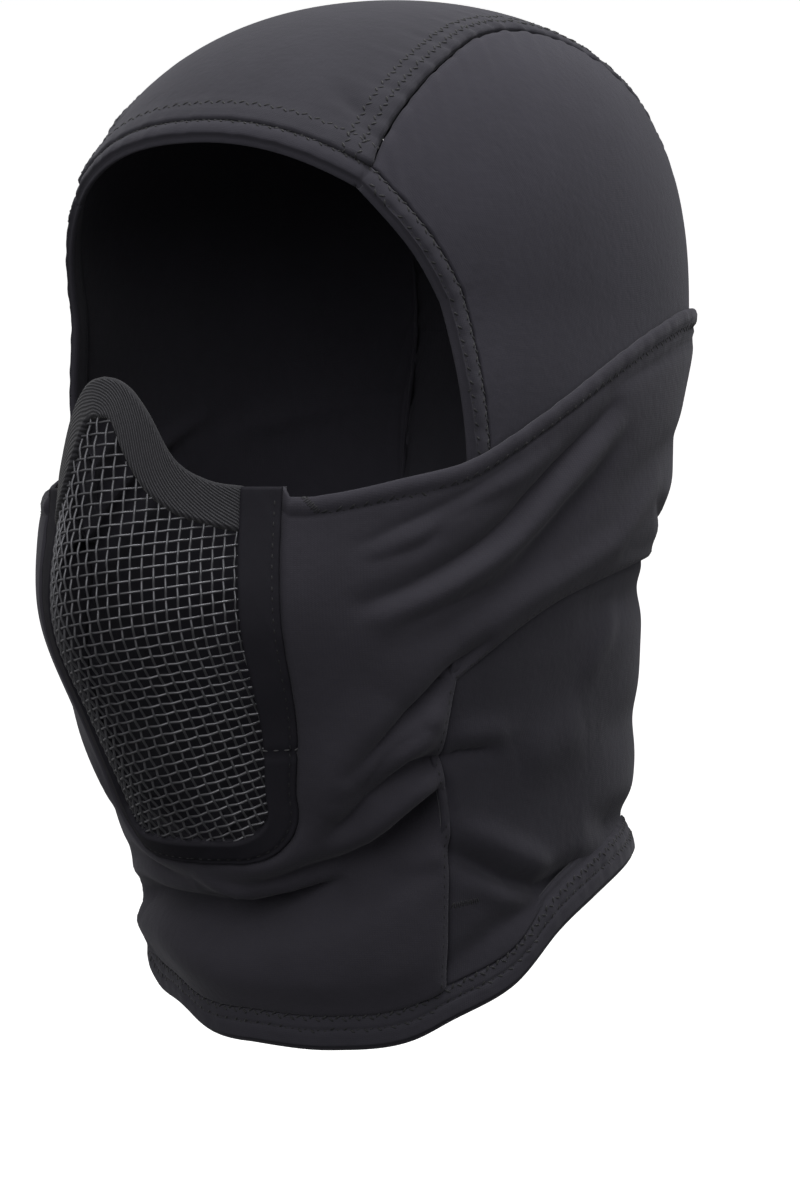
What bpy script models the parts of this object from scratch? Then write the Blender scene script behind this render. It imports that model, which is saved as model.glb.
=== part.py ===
# Mesh face mask: a stretch hood whose face panel carries a domed wire mesh.
# Metres, +Z up. The origin is where the hood sits on the crown of the head,
# the face looks towards -Y and the wearer's left is +X.

import bmesh
import bpy
import numpy as np
from mathutils import Vector

for leftover in list(bpy.data.objects):
    bpy.data.objects.remove(leftover)

hood = bpy.data.collections.new("mesh_face_mask")
bpy.context.scene.collection.children.link(hood)

# Head form that the cloth is stretched over
HALF_WIDTH = 0.0742
FACE_DEPTH = 0.1000
BACK_DEPTH = 0.1080
CENTRE_AHEAD = 0.0200
CROWN_HEIGHT = 0.0850
NECK_LENGTH = 0.2150
CROWN_SQUARENESS = 2.35

# Cloth, hems and the clearances between pieces
CLOTH = 0.0012
SEAM_GAP = 0.0003
LAYER_GAP = 0.0009
SEAM_LAP = 0.0025
OPENING_HEM_WIDTH = 0.0070
OPENING_HEM_THICK = 0.0024
NECK_HEM_HEIGHT = 0.0100
NECK_HEM_THICK = 0.0026
HEM_RIDE = 0.0150
FOLD_RISE = 0.0050
WING_EASE = 0.0012

# Panels of the hood
CROWN_PANEL_HALF = 0.0480
OPENING_PITCH = 27.5
BROW_FALL = 5.0
NAPE_SEAM_ANGLE = 150.0
SEAM_HEM_ANGLE = 40.0
WING_ROOT_ANGLE = 54.0

# Mask: wire mesh dome, its webbing and its binding
MASK_TOP = 0.1076
MASK_HEIGHT = 0.1190
MASK_HALF_WIDTH = 0.0300
MASK_BULGE = 0.0200
MASK_CORNER = 0.0110
BINDING_WIDTH = 0.0090
BINDING_THICK = 0.0024
WEBBING_THICK = 0.0018
NET_MARGIN = 0.0010
NET_BAR = 0.0013
NET_THICK = 0.0014

# Cells along and across the pieces
CROWN_COLUMNS = 12
OVER_ROWS = 18
HEM_ROWS = 10
SEAM_ROWS = 6
ROUND_NECK = 60
BIB_COLUMNS = 6
WING_ROWS = 6
WING_COLUMNS = 13
PANEL_RINGS = 6
MASK_FLAT = 4
MASK_ARC = 5
MASK_SIDE = 11
NET_ROWS = 10

MERGE = 0.00001
NUDGE = 0.00002
SEARCH_STEPS = 36


def table(names, *rows):
    """A small table whose columns are read by name."""
    return {name: np.array(column) for name, column in zip(names.split(), zip(*rows))}


# Level runs down the form: 0 at the crown, 1 at the widest section, 2 at the
# lowest. Lengths are shares of CENTRE_AHEAD, HALF_WIDTH, FACE_DEPTH and
# BACK_DEPTH; square is the power of the section's rounded outline. The first
# row, above the widest section, only levels the slope there.
SECTIONS = table(
    "level centre wide front back square",
    (0.884, 1.00, 1.000, 0.960, 0.875, 2.20),
    (1.000, 0.90, 0.993, 0.970, 1.000, 2.10),
    (1.116, 1.00, 1.000, 0.960, 0.875, 2.20),
    (1.256, 1.05, 0.967, 0.980, 0.760, 2.30),
    (1.395, 1.00, 0.920, 1.020, 0.705, 2.35),
    (1.535, 0.70, 0.864, 0.945, 0.690, 2.25),
    (1.674, 0.35, 0.820, 0.885, 0.640, 2.10),
    (1.814, 0.05, 0.840, 0.790, 0.640, 2.05),
    (2.000, -0.20, 0.880, 0.740, 0.660, 2.05))

# Half width of the crown panel, as a share of CROWN_PANEL_HALF, from the
# forehead over the head and down to the widest section.
CROWN_SEAM = table(
    "along half",
    (0.00, 1.00),
    (0.15, 1.01),
    (0.35, 0.95),
    (0.55, 0.92),
    (0.80, 0.97),
    (1.00, 0.98))

# Front edge of the side panel, from the crown seam down round the opening and
# along the seam of the face panel to the neck hem. Angles are degrees from
# the face.
FRONT_EDGE = table(
    "share angle",
    (0.130, 43.5),
    (0.250, 51.0),
    (0.335, 56.0),
    (0.425, 58.5),
    (0.540, 57.0),
    (0.605, 53.0),
    (0.645, 49.0),
    (0.693, 46.0),
    (0.740, 44.5),
    (0.795, 45.2),
    (0.870, 43.0))
OPENING_END = 0.605
SEAM_TOP = 0.645

# Upper and lower edges of the face panel's wing. The lower one is given by
# shares of the way round from the seam's top to the back of the head.
WING_TOP = table(
    "angle level",
    (27.0, 1.248),
    (32.0, 1.241),
    (41.0, 1.225),
    (54.0, 1.201),
    (65.0, 1.164),
    (76.0, 1.127),
    (104.0, 1.046),
    (134.0, 0.992),
    (180.0, 0.975))
WING_LOW = table(
    "along level",
    (0.10, 1.415),
    (0.19, 1.382),
    (0.35, 1.347),
    (0.47, 1.329),
    (0.77, 1.310),
    (1.00, 1.305))

# Lower edge of the whole hood
LOWER_EDGE = table(
    "angle level",
    (0.0, 1.919),
    (18.0, 1.925),
    (35.0, 1.912),
    (43.0, 1.890),
    (59.0, 1.850),
    (74.0, 1.790),
    (91.0, 1.750),
    (115.0, 1.716),
    (150.0, 1.700),
    (180.0, 1.696))

# Mask from the top of the nose down: half width of the mesh, how far the dome
# stands out of the face and how round it is across.
MASK_ROWS = table(
    "down half bulge round",
    (0.00, 0.955, 0.800, 1.65),
    (0.10, 0.955, 0.900, 1.65),
    (0.19, 0.955, 0.930, 1.70),
    (0.27, 0.957, 0.920, 1.80),
    (0.36, 0.975, 0.910, 1.90),
    (0.47, 1.000, 0.820, 2.00),
    (0.60, 0.990, 0.780, 2.00),
    (0.70, 0.950, 0.670, 2.00),
    (0.78, 0.903, 0.600, 2.00),
    (0.90, 0.800, 0.430, 2.00),
    (1.00, 0.740, 0.180, 2.00),
    (1.08, 0.720, 0.020, 2.00))

# Upper and lower edges of the nose webbing, from the middle to the binding,
# as shares of the mesh's half width and of MASK_HEIGHT. The columns of the
# mesh stand at the same places.
NOSE_ARCH = table(
    "across upper lower",
    (0.00, 0.000, 0.090),
    (0.12, 0.002, 0.099),
    (0.25, 0.014, 0.167),
    (0.40, 0.079, 0.236),
    (0.60, 0.178, 0.290),
    (0.80, 0.221, 0.317),
    (1.00, 0.234, 0.336))

# Folds run from one spot to another. Width is a share of HALF_WIDTH and rise
# a share of FOLD_RISE, outwards when positive.
FACE_FOLDS = table(
    "angle_a level_a angle_b level_b width rise",
    (90.0, 1.170, 48.0, 1.320, 0.11, 0.55),
    (110.0, 1.220, 66.0, 1.350, 0.12, 0.55),
    (172.0, 1.150, 118.0, 1.190, 0.13, 0.30),
    (50.0, 1.420, 22.0, 1.620, 0.10, 0.80),
    (37.0, 1.560, 25.0, 1.640, 0.09, -0.80),
    (0.0, 1.765, 17.0, 1.745, 0.10, -1.10),
    (17.0, 1.745, 31.0, 1.670, 0.10, -0.90),
    (0.0, 1.850, 36.0, 1.790, 0.16, 0.60))
SIDE_FOLDS = table(
    "angle_a level_a angle_b level_b width rise",
    (68.0, 1.560, 88.0, 1.535, 0.11, 0.45),
    (62.0, 1.645, 92.0, 1.680, 0.12, -0.45),
    (112.0, 1.560, 150.0, 1.500, 0.13, 0.25),
    (100.0, 1.640, 140.0, 1.630, 0.12, -0.30))


def smooth(knots, values, at):
    """Smooth curve through the rows of a table, read at one or many places."""
    at = np.clip(at, knots[0], knots[-1])
    slopes = np.gradient(values, knots)
    row = np.clip(np.searchsorted(knots, at, side="right") - 1, 0, len(knots) - 2)
    span = knots[row + 1] - knots[row]
    part = (at - knots[row]) / span
    rest = 1 - part
    start = values[row] * (1 + 2 * part) + slopes[row] * span * part
    end = values[row + 1] * (1 + 2 * rest) - slopes[row + 1] * span * rest
    return start * rest ** 2 + end * part ** 2


def drop_at(level):
    """Depth below the crown of a level."""
    above = CROWN_HEIGHT * (1 - np.cos(np.minimum(level, 1) * np.pi / 2))
    return above + np.maximum(level - 1, 0) * NECK_LENGTH


def level_at(drop):
    """Level of a depth below the crown."""
    above = np.arccos(np.clip(1 - drop / CROWN_HEIGHT, 0, 1)) * 2 / np.pi
    return above + np.maximum(drop - CROWN_HEIGHT, 0) / NECK_LENGTH


def section(drop):
    """Centre, half width, front, back, power and cap height at a depth."""
    level = np.maximum(level_at(drop), 1)
    centre, wide, front, back, square = (
        smooth(SECTIONS["level"], SECTIONS[name], level)
        for name in ("centre", "wide", "front", "back", "square"))
    cap = np.clip(1 - drop / CROWN_HEIGHT, 0, 1)
    centre = -centre * CENTRE_AHEAD * (1 - cap ** 2)
    return centre, wide * HALF_WIDTH, front * FACE_DEPTH, back * BACK_DEPTH, square, cap


def ring(angle, level):
    """Spot on the form at an angle from the face and a level."""
    drop = drop_at(level)
    centre, wide, front, back, square, cap = section(drop)
    turn = np.radians(angle)
    across, ahead = np.sin(turn), np.cos(turn)
    depth = np.where(ahead > 0, front, back)
    outline = np.abs(across / wide) ** square + np.abs(ahead / depth) ** square
    shrink = np.maximum(1 - cap ** CROWN_SQUARENESS, 0) ** (1 / CROWN_SQUARENESS)
    reach = outline ** (-1 / square) * shrink
    return np.stack(np.broadcast_arrays(reach * across, centre - reach * ahead, -drop), -1)


def front_of(x, drop):
    """Where the form's face lies at a distance from the middle and a depth."""
    centre, wide, front, back, square, cap = section(drop)
    return centre - front * np.maximum(1 - np.abs(x / wide) ** square, 0) ** (1 / square)


def fullness(points):
    """Below 1 inside the form, 1 on it and above 1 outside."""
    x, y, z = np.moveaxis(points, -1, 0)
    centre, wide, front, back, square, cap = section(np.maximum(-z, 0))
    depth = np.where(y < centre, front, back)
    outline = np.abs(x / wide) ** square + np.abs((y - centre) / depth) ** square
    over = np.maximum(z, 0) / CROWN_HEIGHT
    return outline ** (CROWN_SQUARENESS / square) + (cap + over) ** CROWN_SQUARENESS


def cast(origins, rays):
    """Where rays that start inside the form meet it."""
    near = np.zeros(rays.shape[:-1] + (1,))
    far = near + 2 * (FACE_DEPTH + BACK_DEPTH)
    for _ in range(SEARCH_STEPS):
        middle = (near + far) / 2
        inside = (fullness(origins + rays * middle) < 1)[..., None]
        near = np.where(inside, middle, near)
        far = np.where(inside, far, middle)
    return origins + rays * near


def seat(points):
    """Points pushed straight out from the head's middle onto the form."""
    drop = np.maximum(-points[..., 2], CROWN_HEIGHT)
    centre = section(drop)[0]
    origins = np.stack((np.zeros_like(centre), centre, -drop), -1)
    rays = points - origins
    return cast(origins, rays / np.linalg.norm(rays, axis=-1, keepdims=True))


def arc_over(x, pitch):
    """Spots on the form at a distance from the middle and a pitch over the head."""
    x, turn = np.broadcast_arrays(x, np.radians(pitch))
    centre = section(np.full(x.shape, CROWN_HEIGHT))[0]
    origins = np.stack((x, centre, np.full(x.shape, -CROWN_HEIGHT)), -1)
    return cast(origins, np.stack((np.zeros(x.shape), -np.cos(turn), np.sin(turn)), -1))


def outward(points):
    """Unit normals of the form."""
    slopes = [fullness(points + step) - fullness(points - step) for step in np.eye(3) * NUDGE]
    normals = np.stack(slopes, -1)
    return normals / np.linalg.norm(normals, axis=-1, keepdims=True)


def place(points):
    """Angle from the face and level of spots on the form."""
    drop = np.maximum(-points[..., 2], 0)
    angle = np.degrees(np.arctan2(np.abs(points[..., 0]), section(drop)[0] - points[..., 1]))
    return angle, level_at(drop)


def fold_height(points, folds):
    """How far the folds of a table raise the cloth at spots of the form."""
    angle, level = place(points)
    around, down = np.radians(angle) * HALF_WIDTH, drop_at(level)
    height = np.zeros(around.shape)
    for a, level_a, b, level_b, width, rise in zip(*folds.values()):
        start = np.array((np.radians(a) * HALF_WIDTH, drop_at(level_a)))
        run = np.array((np.radians(b) * HALF_WIDTH, drop_at(level_b))) - start
        share = ((around - start[0]) * run[0] + (down - start[1]) * run[1]) / (run @ run)
        share = np.clip(share, 0, 1)
        away = np.hypot(around - start[0] - share * run[0], down - start[1] - share * run[1])
        height += rise * FOLD_RISE * np.exp(-(away / (width * HALF_WIDTH)) ** 2)
    return height


def lift(points, height):
    """Spots of the form raised off it by one height or by a height each."""
    return points + outward(points) * np.broadcast_to(height, points.shape[:-1])[..., None]


def coons(top, bottom, front, back):
    """Patch of points filling four edges that meet at their corners."""
    s = np.linspace(0, 1, len(top))[None, :, None]
    t = np.linspace(0, 1, len(front))[:, None, None]
    ruled = (1 - t) * top[None] + t * bottom[None] + (1 - s) * front[:, None] + s * back[:, None]
    corners = ((1 - t) * ((1 - s) * top[0] + s * top[-1])
               + t * ((1 - s) * bottom[0] + s * bottom[-1]))
    return ruled - corners


def over_head(across, along, gap):
    """Spots of the crown panel, from seam to seam and from the brow to the back."""
    half = smooth(CROWN_SEAM["along"], CROWN_SEAM["half"], along) * CROWN_PANEL_HALF
    brow = OPENING_PITCH - BROW_FALL * np.abs(across) ** 3
    return arc_over((half + gap) * across, brow + (180 - brow) * along)


def crown_seam(along, gap):
    """Seam of the crown panel over the head, moved to the side by a gap."""
    return over_head(1.0, along, gap)


def lower_edge(angle, up):
    """Level a height above the hood's lower edge."""
    from_face = 180 - np.abs(180 - np.abs(angle))
    level = smooth(LOWER_EDGE["angle"], LOWER_EDGE["level"], from_face)
    return level_at(drop_at(level) - up)


def panel_end(angle):
    """Level where the panels end, just above the neck hem."""
    return lower_edge(angle, NECK_HEM_HEIGHT + LAYER_GAP)


def nape_angle(down):
    """Angle of the crown panel's seam below the widest section."""
    start = place(crown_seam(1.0, 0.0))[0]
    return start + (NAPE_SEAM_ANGLE - start) * down


def front_edge(share, lap):
    """Front edge of the side panel, moved back along the form by a lap."""
    corner_angle, corner_level = place(crown_seam(0.0, SEAM_GAP / 2))
    shares = np.concatenate(([0.0], FRONT_EDGE["share"], [1.0]))
    angles = np.concatenate(([corner_angle], FRONT_EDGE["angle"], [SEAM_HEM_ANGLE]))
    level = corner_level + (panel_end(SEAM_HEM_ANGLE) - corner_level) * share
    return ring(smooth(shares, angles, share) + np.degrees(lap / HALF_WIDTH), level)


def front_shares():
    """Places along that edge where the side panel and the opening hem have corners."""
    rim = np.linspace(0, OPENING_END, HEM_ROWS + 1)
    return np.concatenate((rim, np.linspace(OPENING_END, 1, SEAM_ROWS + 1)[1:]))


def mask_half(drop):
    """Half width of the mesh at a depth."""
    down = (drop - MASK_TOP) / MASK_HEIGHT
    return smooth(MASK_ROWS["down"], MASK_ROWS["half"], down) * MASK_HALF_WIDTH


def mask_surface(x, drop):
    """Dome of the mask, which runs out onto the face panel at its edge."""
    down = (drop - MASK_TOP) / MASK_HEIGHT
    bulge = smooth(MASK_ROWS["down"], MASK_ROWS["bulge"], down) * MASK_BULGE
    power = smooth(MASK_ROWS["down"], MASK_ROWS["round"], down)
    across = np.minimum(np.abs(x) / mask_half(drop), 1)
    y = front_of(x, drop) - CLOTH - LAYER_GAP - bulge * (1 - across ** power)
    return np.stack(np.broadcast_arrays(x, y, -drop), -1)


def arch(edge, across):
    """Depth of the upper or lower edge of the nose webbing."""
    share = smooth(NOSE_ARCH["across"], NOSE_ARCH[edge], np.abs(across))
    return MASK_TOP + share * MASK_HEIGHT


def mask_outline(grow):
    """Half the mesh's outline, grown sideways, from its lowest point to its top."""
    low = MASK_TOP + MASK_HEIGHT
    middle = mask_half(low - MASK_CORNER) - MASK_CORNER
    turn = np.linspace(0, np.pi / 2, MASK_ARC + 1)
    side = np.linspace(low - MASK_CORNER, arch("upper", 1.0), MASK_SIDE + 1)[1:]
    x = np.concatenate((
        np.linspace(0, middle, MASK_FLAT + 1)[:-1],
        middle + (MASK_CORNER + grow) * np.sin(turn),
        mask_half(side) + grow))
    drop = np.concatenate((
        np.full(MASK_FLAT, low + grow),
        low - MASK_CORNER + (MASK_CORNER + grow) * np.cos(turn),
        side))
    return x, drop


def mirrored(spots):
    """The same spots on the wearer's right."""
    return spots * np.array((-1, 1, 1))


def both_sides(across):
    """Places from the wearer's right edge to the left one."""
    return np.concatenate((-across[:0:-1], across))


def hang(points):
    """Let the lower edge ride up on the wearer's right, as worn."""
    x, y, z = np.moveaxis(points, -1, 0)
    centre = section(np.maximum(-z, 0))[0]
    aside = np.maximum(-x, 0) / np.hypot(x, y - centre)
    low = np.maximum(-z - CROWN_HEIGHT, 0) / NECK_LENGTH
    return np.stack((x, y, z + HEM_RIDE * aside ** 1.3 * low ** 2), -1)


def make_piece(name, patches, wall, colour, roughness, metallic=0.0, pierce=0.0):
    """Patches of points joined to one sheet, which is given a wall outwards."""
    material = bpy.data.materials.new(name)
    material.use_nodes = True
    shader = material.node_tree.nodes["Principled BSDF"]
    shader.inputs["Base Color"].default_value = (*colour, 1)
    shader.inputs["Roughness"].default_value = roughness
    shader.inputs["Metallic"].default_value = metallic

    sheet = bmesh.new()
    for patch in patches:
        rows = [[sheet.verts.new(spot) for spot in row] for row in hang(patch)]
        for above, below in zip(rows, rows[1:]):
            for corners in zip(above, below, below[1:], above[1:]):
                sheet.faces.new(corners)
    bmesh.ops.remove_doubles(sheet, verts=sheet.verts, dist=MERGE)
    bmesh.ops.recalc_face_normals(sheet, faces=sheet.faces)
    cells = list(sheet.faces)
    facing = 0
    for cell in cells:
        spot = cell.calc_center_median()
        middle = Vector((0, -CENTRE_AHEAD, min(spot.z, -CROWN_HEIGHT)))
        facing += cell.normal.dot(spot - middle)
    if facing < 0:
        bmesh.ops.reverse_faces(sheet, faces=cells)
    if pierce:
        bmesh.ops.inset_individual(sheet, faces=cells, thickness=pierce / 2)
        bmesh.ops.delete(sheet, geom=cells, context="FACES_ONLY")
    mesh = bpy.data.meshes.new(name)
    sheet.to_mesh(mesh)
    sheet.free()
    mesh.materials.append(material)

    piece = bpy.data.objects.new(name, mesh)
    hood.objects.link(piece)
    shell = piece.modifiers.new("wall", "SOLIDIFY")
    shell.thickness = wall
    shell.offset = 1


def make_crown_panel():
    """Strip over the head from the opening to the neck hem."""
    across = np.linspace(-1, 1, CROWN_COLUMNS + 1)
    along = np.linspace(0, 1, OVER_ROWS + 1)[:, None]
    over = over_head(across, along, -SEAM_GAP / 2)
    down = np.linspace(0, 1, HEM_ROWS + SEAM_ROWS + 1)[1:, None]
    side = 180 - nape_angle(down) - np.degrees(SEAM_GAP / 2 / HALF_WIDTH)
    angle = 180 - across * side
    nape = ring(angle, 1 + (panel_end(angle) - 1) * down)
    points = lift(np.concatenate((over, nape)), 0)
    make_piece("crown_panel", [points], CLOTH, (0.075, 0.072, 0.084), 0.85)


def side_panel():
    """Points of the left side panel, from the crown seam to the neck hem."""
    top = crown_seam(np.linspace(0, 1, OVER_ROWS + 1), SEAM_GAP / 2)
    down = np.linspace(0, 1, HEM_ROWS + SEAM_ROWS + 1)
    seam = nape_angle(down) - np.degrees(SEAM_GAP / 2 / HALF_WIDTH)
    back = ring(seam, 1 + (panel_end(seam) - 1) * down)
    front = front_edge(front_shares(), 0)
    round_neck = np.linspace(SEAM_HEM_ANGLE, seam[-1], OVER_ROWS + 1)
    bottom = ring(round_neck, panel_end(round_neck))
    back[0], front[0], front[-1], back[-1] = top[-1], top[0], bottom[0], bottom[-1]
    points = seat(coons(top, bottom, front, back))
    points[0], points[-1], points[:, 0], points[:, -1] = top, bottom, front, back
    return lift(points, fold_height(points, SIDE_FOLDS))


def make_opening_hem():
    """Rolled edge round the eye opening, lying in front of the panels."""
    across = np.linspace(-1, 1, CROWN_COLUMNS + 1)
    brow = over_head(across, 0.0, 0.0)
    left = front_edge(front_shares()[1:HEM_ROWS + 1], 0)
    edge = np.concatenate((mirrored(left[::-1]), brow, left))
    run = np.gradient(edge, axis=0)
    inwards = np.cross(outward(edge), run)
    inwards /= np.linalg.norm(inwards, axis=1, keepdims=True)
    steps = SEAM_GAP + np.array((0, 0.5, 1))[:, None, None] * OPENING_HEM_WIDTH
    strip = seat(edge - inwards * steps)
    points = lift(strip, CLOTH - OPENING_HEM_THICK)
    make_piece("opening_hem", [points], OPENING_HEM_THICK, (0.060, 0.058, 0.068), 0.85)


def face_panel():
    """Points of the face panel's left half: round the mask, then its wing."""
    x, drop = mask_outline(BINDING_WIDTH + 2 * SEAM_GAP)
    inner = np.stack((x, front_of(x, drop), -drop), -1)
    chin = np.linspace(0, SEAM_HEM_ANGLE + np.degrees(SEAM_LAP / HALF_WIDTH), BIB_COLUMNS + 1)
    hem = ring(chin, panel_end(chin))
    seam_rows = len(x) - 1 - BIB_COLUMNS - WING_ROWS
    seam = front_edge(np.linspace(1, SEAM_TOP, seam_rows + 1), SEAM_LAP)
    low_angle, low_level = place(seam[-1])
    rise = np.linspace(0, 1, WING_ROWS + 1)
    root_angle = low_angle + (WING_ROOT_ANGLE - low_angle) * rise
    top_level = smooth(WING_TOP["angle"], WING_TOP["level"], WING_ROOT_ANGLE)
    root = ring(root_angle, low_level + (top_level - low_level) * rise)
    outer = np.concatenate((hem, seam[1:], root[1:]))

    ringed = np.linspace(0, 1, PANEL_RINGS + 1)[:, None]
    angle, level = place(seat(inner + (outer - inner) * ringed[..., None]))
    near_top = np.linspace(0, 1, len(x)) ** WING_ROWS * np.sign(ringed)
    level += near_top * (smooth(WING_TOP["angle"], WING_TOP["level"], angle[:, -1:]) - level[:, -1:])
    bib = ring(angle, level)
    bib[0], bib[-1] = inner, outer

    back = np.linspace(0, 1, WING_COLUMNS + 1)[:, None]
    wing_angle = root_angle + (180 - root_angle) * back
    top = smooth(WING_TOP["angle"], WING_TOP["level"], wing_angle[:, -1:])
    along = np.concatenate(([0.0], WING_LOW["along"]))
    low = smooth(along, np.concatenate(([low_level], WING_LOW["level"])), back)
    wing = ring(wing_angle, low + (top - low) * rise)
    lying = CLOTH + LAYER_GAP
    ease = WING_EASE * np.sin(back * np.pi / 2) * (0.4 + 0.6 * rise)
    held = np.minimum(3 * ringed, 1)
    bib = lift(bib, lying + held * fold_height(bib, FACE_FOLDS))
    wing = lift(wing, lying + ease + fold_height(wing, FACE_FOLDS))
    bib[0] = mask_surface(x, drop)
    return bib, wing


def mesh_binding():
    """Points of the binding's left half, from the mesh to the face panel."""
    x, drop = zip(*(mask_outline(BINDING_WIDTH * share) for share in (0, 0.5, 1)))
    return mask_surface(np.array(x), np.array(drop))


def make_mask():
    """Wire mesh with the webbing over the nose and the binding round both."""
    across = both_sides(NOSE_ARCH["across"])
    upper, lower = arch("upper", across), arch("lower", across)
    band = upper + (lower - upper) * np.linspace(0, 1, 3)[:, None]
    low = MASK_TOP + MASK_HEIGHT
    corner = mask_half(low - MASK_CORNER) - MASK_CORNER
    beyond = np.maximum(np.abs(across) * (corner + MASK_CORNER) - corner, 0)
    foot = low - MASK_CORNER - NET_MARGIN + np.sqrt(np.maximum(MASK_CORNER ** 2 - beyond ** 2, 0))
    head = lower + SEAM_GAP
    net = head + (foot - head) * np.linspace(0, 1, NET_ROWS + 1)[:, None]
    webbing = mask_surface(across * (mask_half(band) - NET_MARGIN), band)
    netting = mask_surface(across * (mask_half(net) - NET_MARGIN), net)
    binding = mesh_binding()
    make_piece("nose_webbing", [webbing], WEBBING_THICK, (0.030, 0.029, 0.034), 0.70)
    make_piece("mesh_binding", [binding, mirrored(binding)], BINDING_THICK,
               (0.013, 0.012, 0.016), 0.55)
    make_piece("face_mesh", [netting], NET_THICK, (0.110, 0.108, 0.120), 0.40,
               metallic=0.8, pierce=NET_BAR)


def make_neck_hem():
    """Turned-up band round the lower edge."""
    angle = np.linspace(0, 360, ROUND_NECK + 1)
    up = np.array((1, 0))[:, None] * NECK_HEM_HEIGHT
    points = lift(ring(angle, lower_edge(angle, up)), 0)
    make_piece("neck_hem", [points], NECK_HEM_THICK, (0.022, 0.021, 0.026), 0.85)


make_crown_panel()
left_side = side_panel()
make_piece("side_panel_left", [left_side], CLOTH, (0.045, 0.043, 0.051), 0.85)
make_piece("side_panel_right", [mirrored(left_side)], CLOTH, (0.045, 0.043, 0.051), 0.85)
make_opening_hem()
left_face = face_panel()
right_face = tuple(mirrored(patch) for patch in left_face)
make_piece("face_panel", left_face + right_face, CLOTH, (0.026, 0.025, 0.030), 0.85)
make_mask()
make_neck_hem()
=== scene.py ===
from functools import partialmethod

import bmesh
import bpy
import numpy as np
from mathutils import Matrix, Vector
from mathutils.bvhtree import BVHTree


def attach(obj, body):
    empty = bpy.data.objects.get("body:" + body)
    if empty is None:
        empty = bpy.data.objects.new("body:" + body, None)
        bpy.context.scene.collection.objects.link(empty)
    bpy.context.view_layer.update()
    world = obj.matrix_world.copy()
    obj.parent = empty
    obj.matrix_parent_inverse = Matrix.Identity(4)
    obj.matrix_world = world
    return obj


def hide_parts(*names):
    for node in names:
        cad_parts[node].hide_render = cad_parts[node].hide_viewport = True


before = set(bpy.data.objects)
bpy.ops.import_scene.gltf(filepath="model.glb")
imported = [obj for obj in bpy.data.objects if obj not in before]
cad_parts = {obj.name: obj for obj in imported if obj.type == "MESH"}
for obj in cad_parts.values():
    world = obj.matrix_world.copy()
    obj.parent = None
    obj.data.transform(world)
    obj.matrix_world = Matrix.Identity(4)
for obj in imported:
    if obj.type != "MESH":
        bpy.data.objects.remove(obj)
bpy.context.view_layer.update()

# Crown panel. A strip of matt black stretch jersey that runs from the brow
# over the head and down to the nape. It is cut with two curved sides, and the
# seam allowances are pressed towards its middle and topstitched.
HALF_WIDTH = 0.0742
FACE_DEPTH = 0.1000
BACK_DEPTH = 0.1080
CENTRE_AHEAD = 0.0200
CROWN_HEIGHT = 0.0850
NECK_LENGTH = 0.2150
CROWN_SQUARENESS = 2.35
CLOTH = 0.0012
SEAM_GAP = 0.0003
LAYER_GAP = 0.0009
HEM_RIDE = 0.0150
HEM_CORNER = 0.0055
HEM_FLARE = 0.0100
WAIST = 0.0024
WAIST_DEPTH = 0.2262
NECK_HEM_HEIGHT = 0.0092
CROWN_PANEL_HALF = 0.0480
CROWN_ROWS = (0.0032, 0.0062)
BROW_ROW = 0.0056
OPENING_PITCH = 28.7
BROW_FALL = 3.7
NAPE_SEAM_ANGLE = 150.0
CROWN_LENGTHS = (0.094, 0.245, 0.150)
CLOTH_STEP = 0.0013
SIDES = ((1, 1, 1), (-1, 1, 1))


def table(names, *rows):
    """A small table whose columns are read by name."""
    return {name: np.array(column) for name, column in zip(names.split(), zip(*rows))}


SECTIONS = table(
    "level centre wide front back square",
    (0.884, 1.00, 1.000, 0.960, 0.875, 2.20), (1.000, 0.90, 0.993, 0.970, 1.000, 2.10),
    (1.116, 1.00, 1.000, 0.960, 0.875, 2.20), (1.256, 1.05, 0.967, 0.980, 0.760, 2.30),
    (1.395, 1.00, 0.920, 1.020, 0.705, 2.35), (1.535, 0.70, 0.864, 0.945, 0.690, 2.25),
    (1.674, 0.35, 0.820, 0.885, 0.640, 2.10), (1.814, 0.05, 0.840, 0.790, 0.640, 2.05),
    (2.000, -0.20, 0.880, 0.740, 0.660, 2.05))
CROWN_SEAM = table(
    "along half",
    (0.00, 1.000), (0.15, 0.995), (0.25, 0.965), (0.35, 0.905), (0.45, 0.865), (0.55, 0.865),
    (0.65, 0.930), (0.80, 0.970), (1.00, 0.980))
LOWER_EDGE = table(
    "angle level",
    (0.0, 1.919), (18.0, 1.925), (35.0, 1.912), (43.0, 1.890), (59.0, 1.850), (74.0, 1.790),
    (91.0, 1.750), (115.0, 1.716), (150.0, 1.700), (180.0, 1.696))


def smooth(rows, column, at):
    """Smooth curve through a column of a table, read along its first column."""
    knots, values = next(iter(rows.values())), rows[column]
    at = np.clip(at, knots[0], knots[-1])
    slopes = np.gradient(values, knots)
    row = np.clip(np.searchsorted(knots, at, side="right") - 1, 0, len(knots) - 2)
    span = knots[row + 1] - knots[row]
    part = (at - knots[row]) / span
    rest = 1 - part
    start = values[row] * (1 + 2 * part) + slopes[row] * span * part
    end = values[row + 1] * (1 + 2 * rest) - slopes[row + 1] * span * rest
    return start * rest ** 2 + end * part ** 2


def bell(x, width):
    """1 at 0, falling evenly to both sides."""
    return np.exp(-(x / width) ** 2)


def ramp(x, width=1.0):
    """0 below 0, rising to 1 over a width."""
    return np.clip(x / width, 0, 1)


def ledge(height, x, edge, width):
    """A height up to an edge, which falls to 0 past it."""
    return height / (1 + np.exp((x - edge) / width))


def join(*parts):
    """Coordinates side by side, one spot for each place of their grid."""
    return np.stack(np.broadcast_arrays(*parts), -1)


def unit(vectors):
    """Vectors made one long."""
    return vectors / np.linalg.norm(vectors, axis=-1, keepdims=True)


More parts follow.
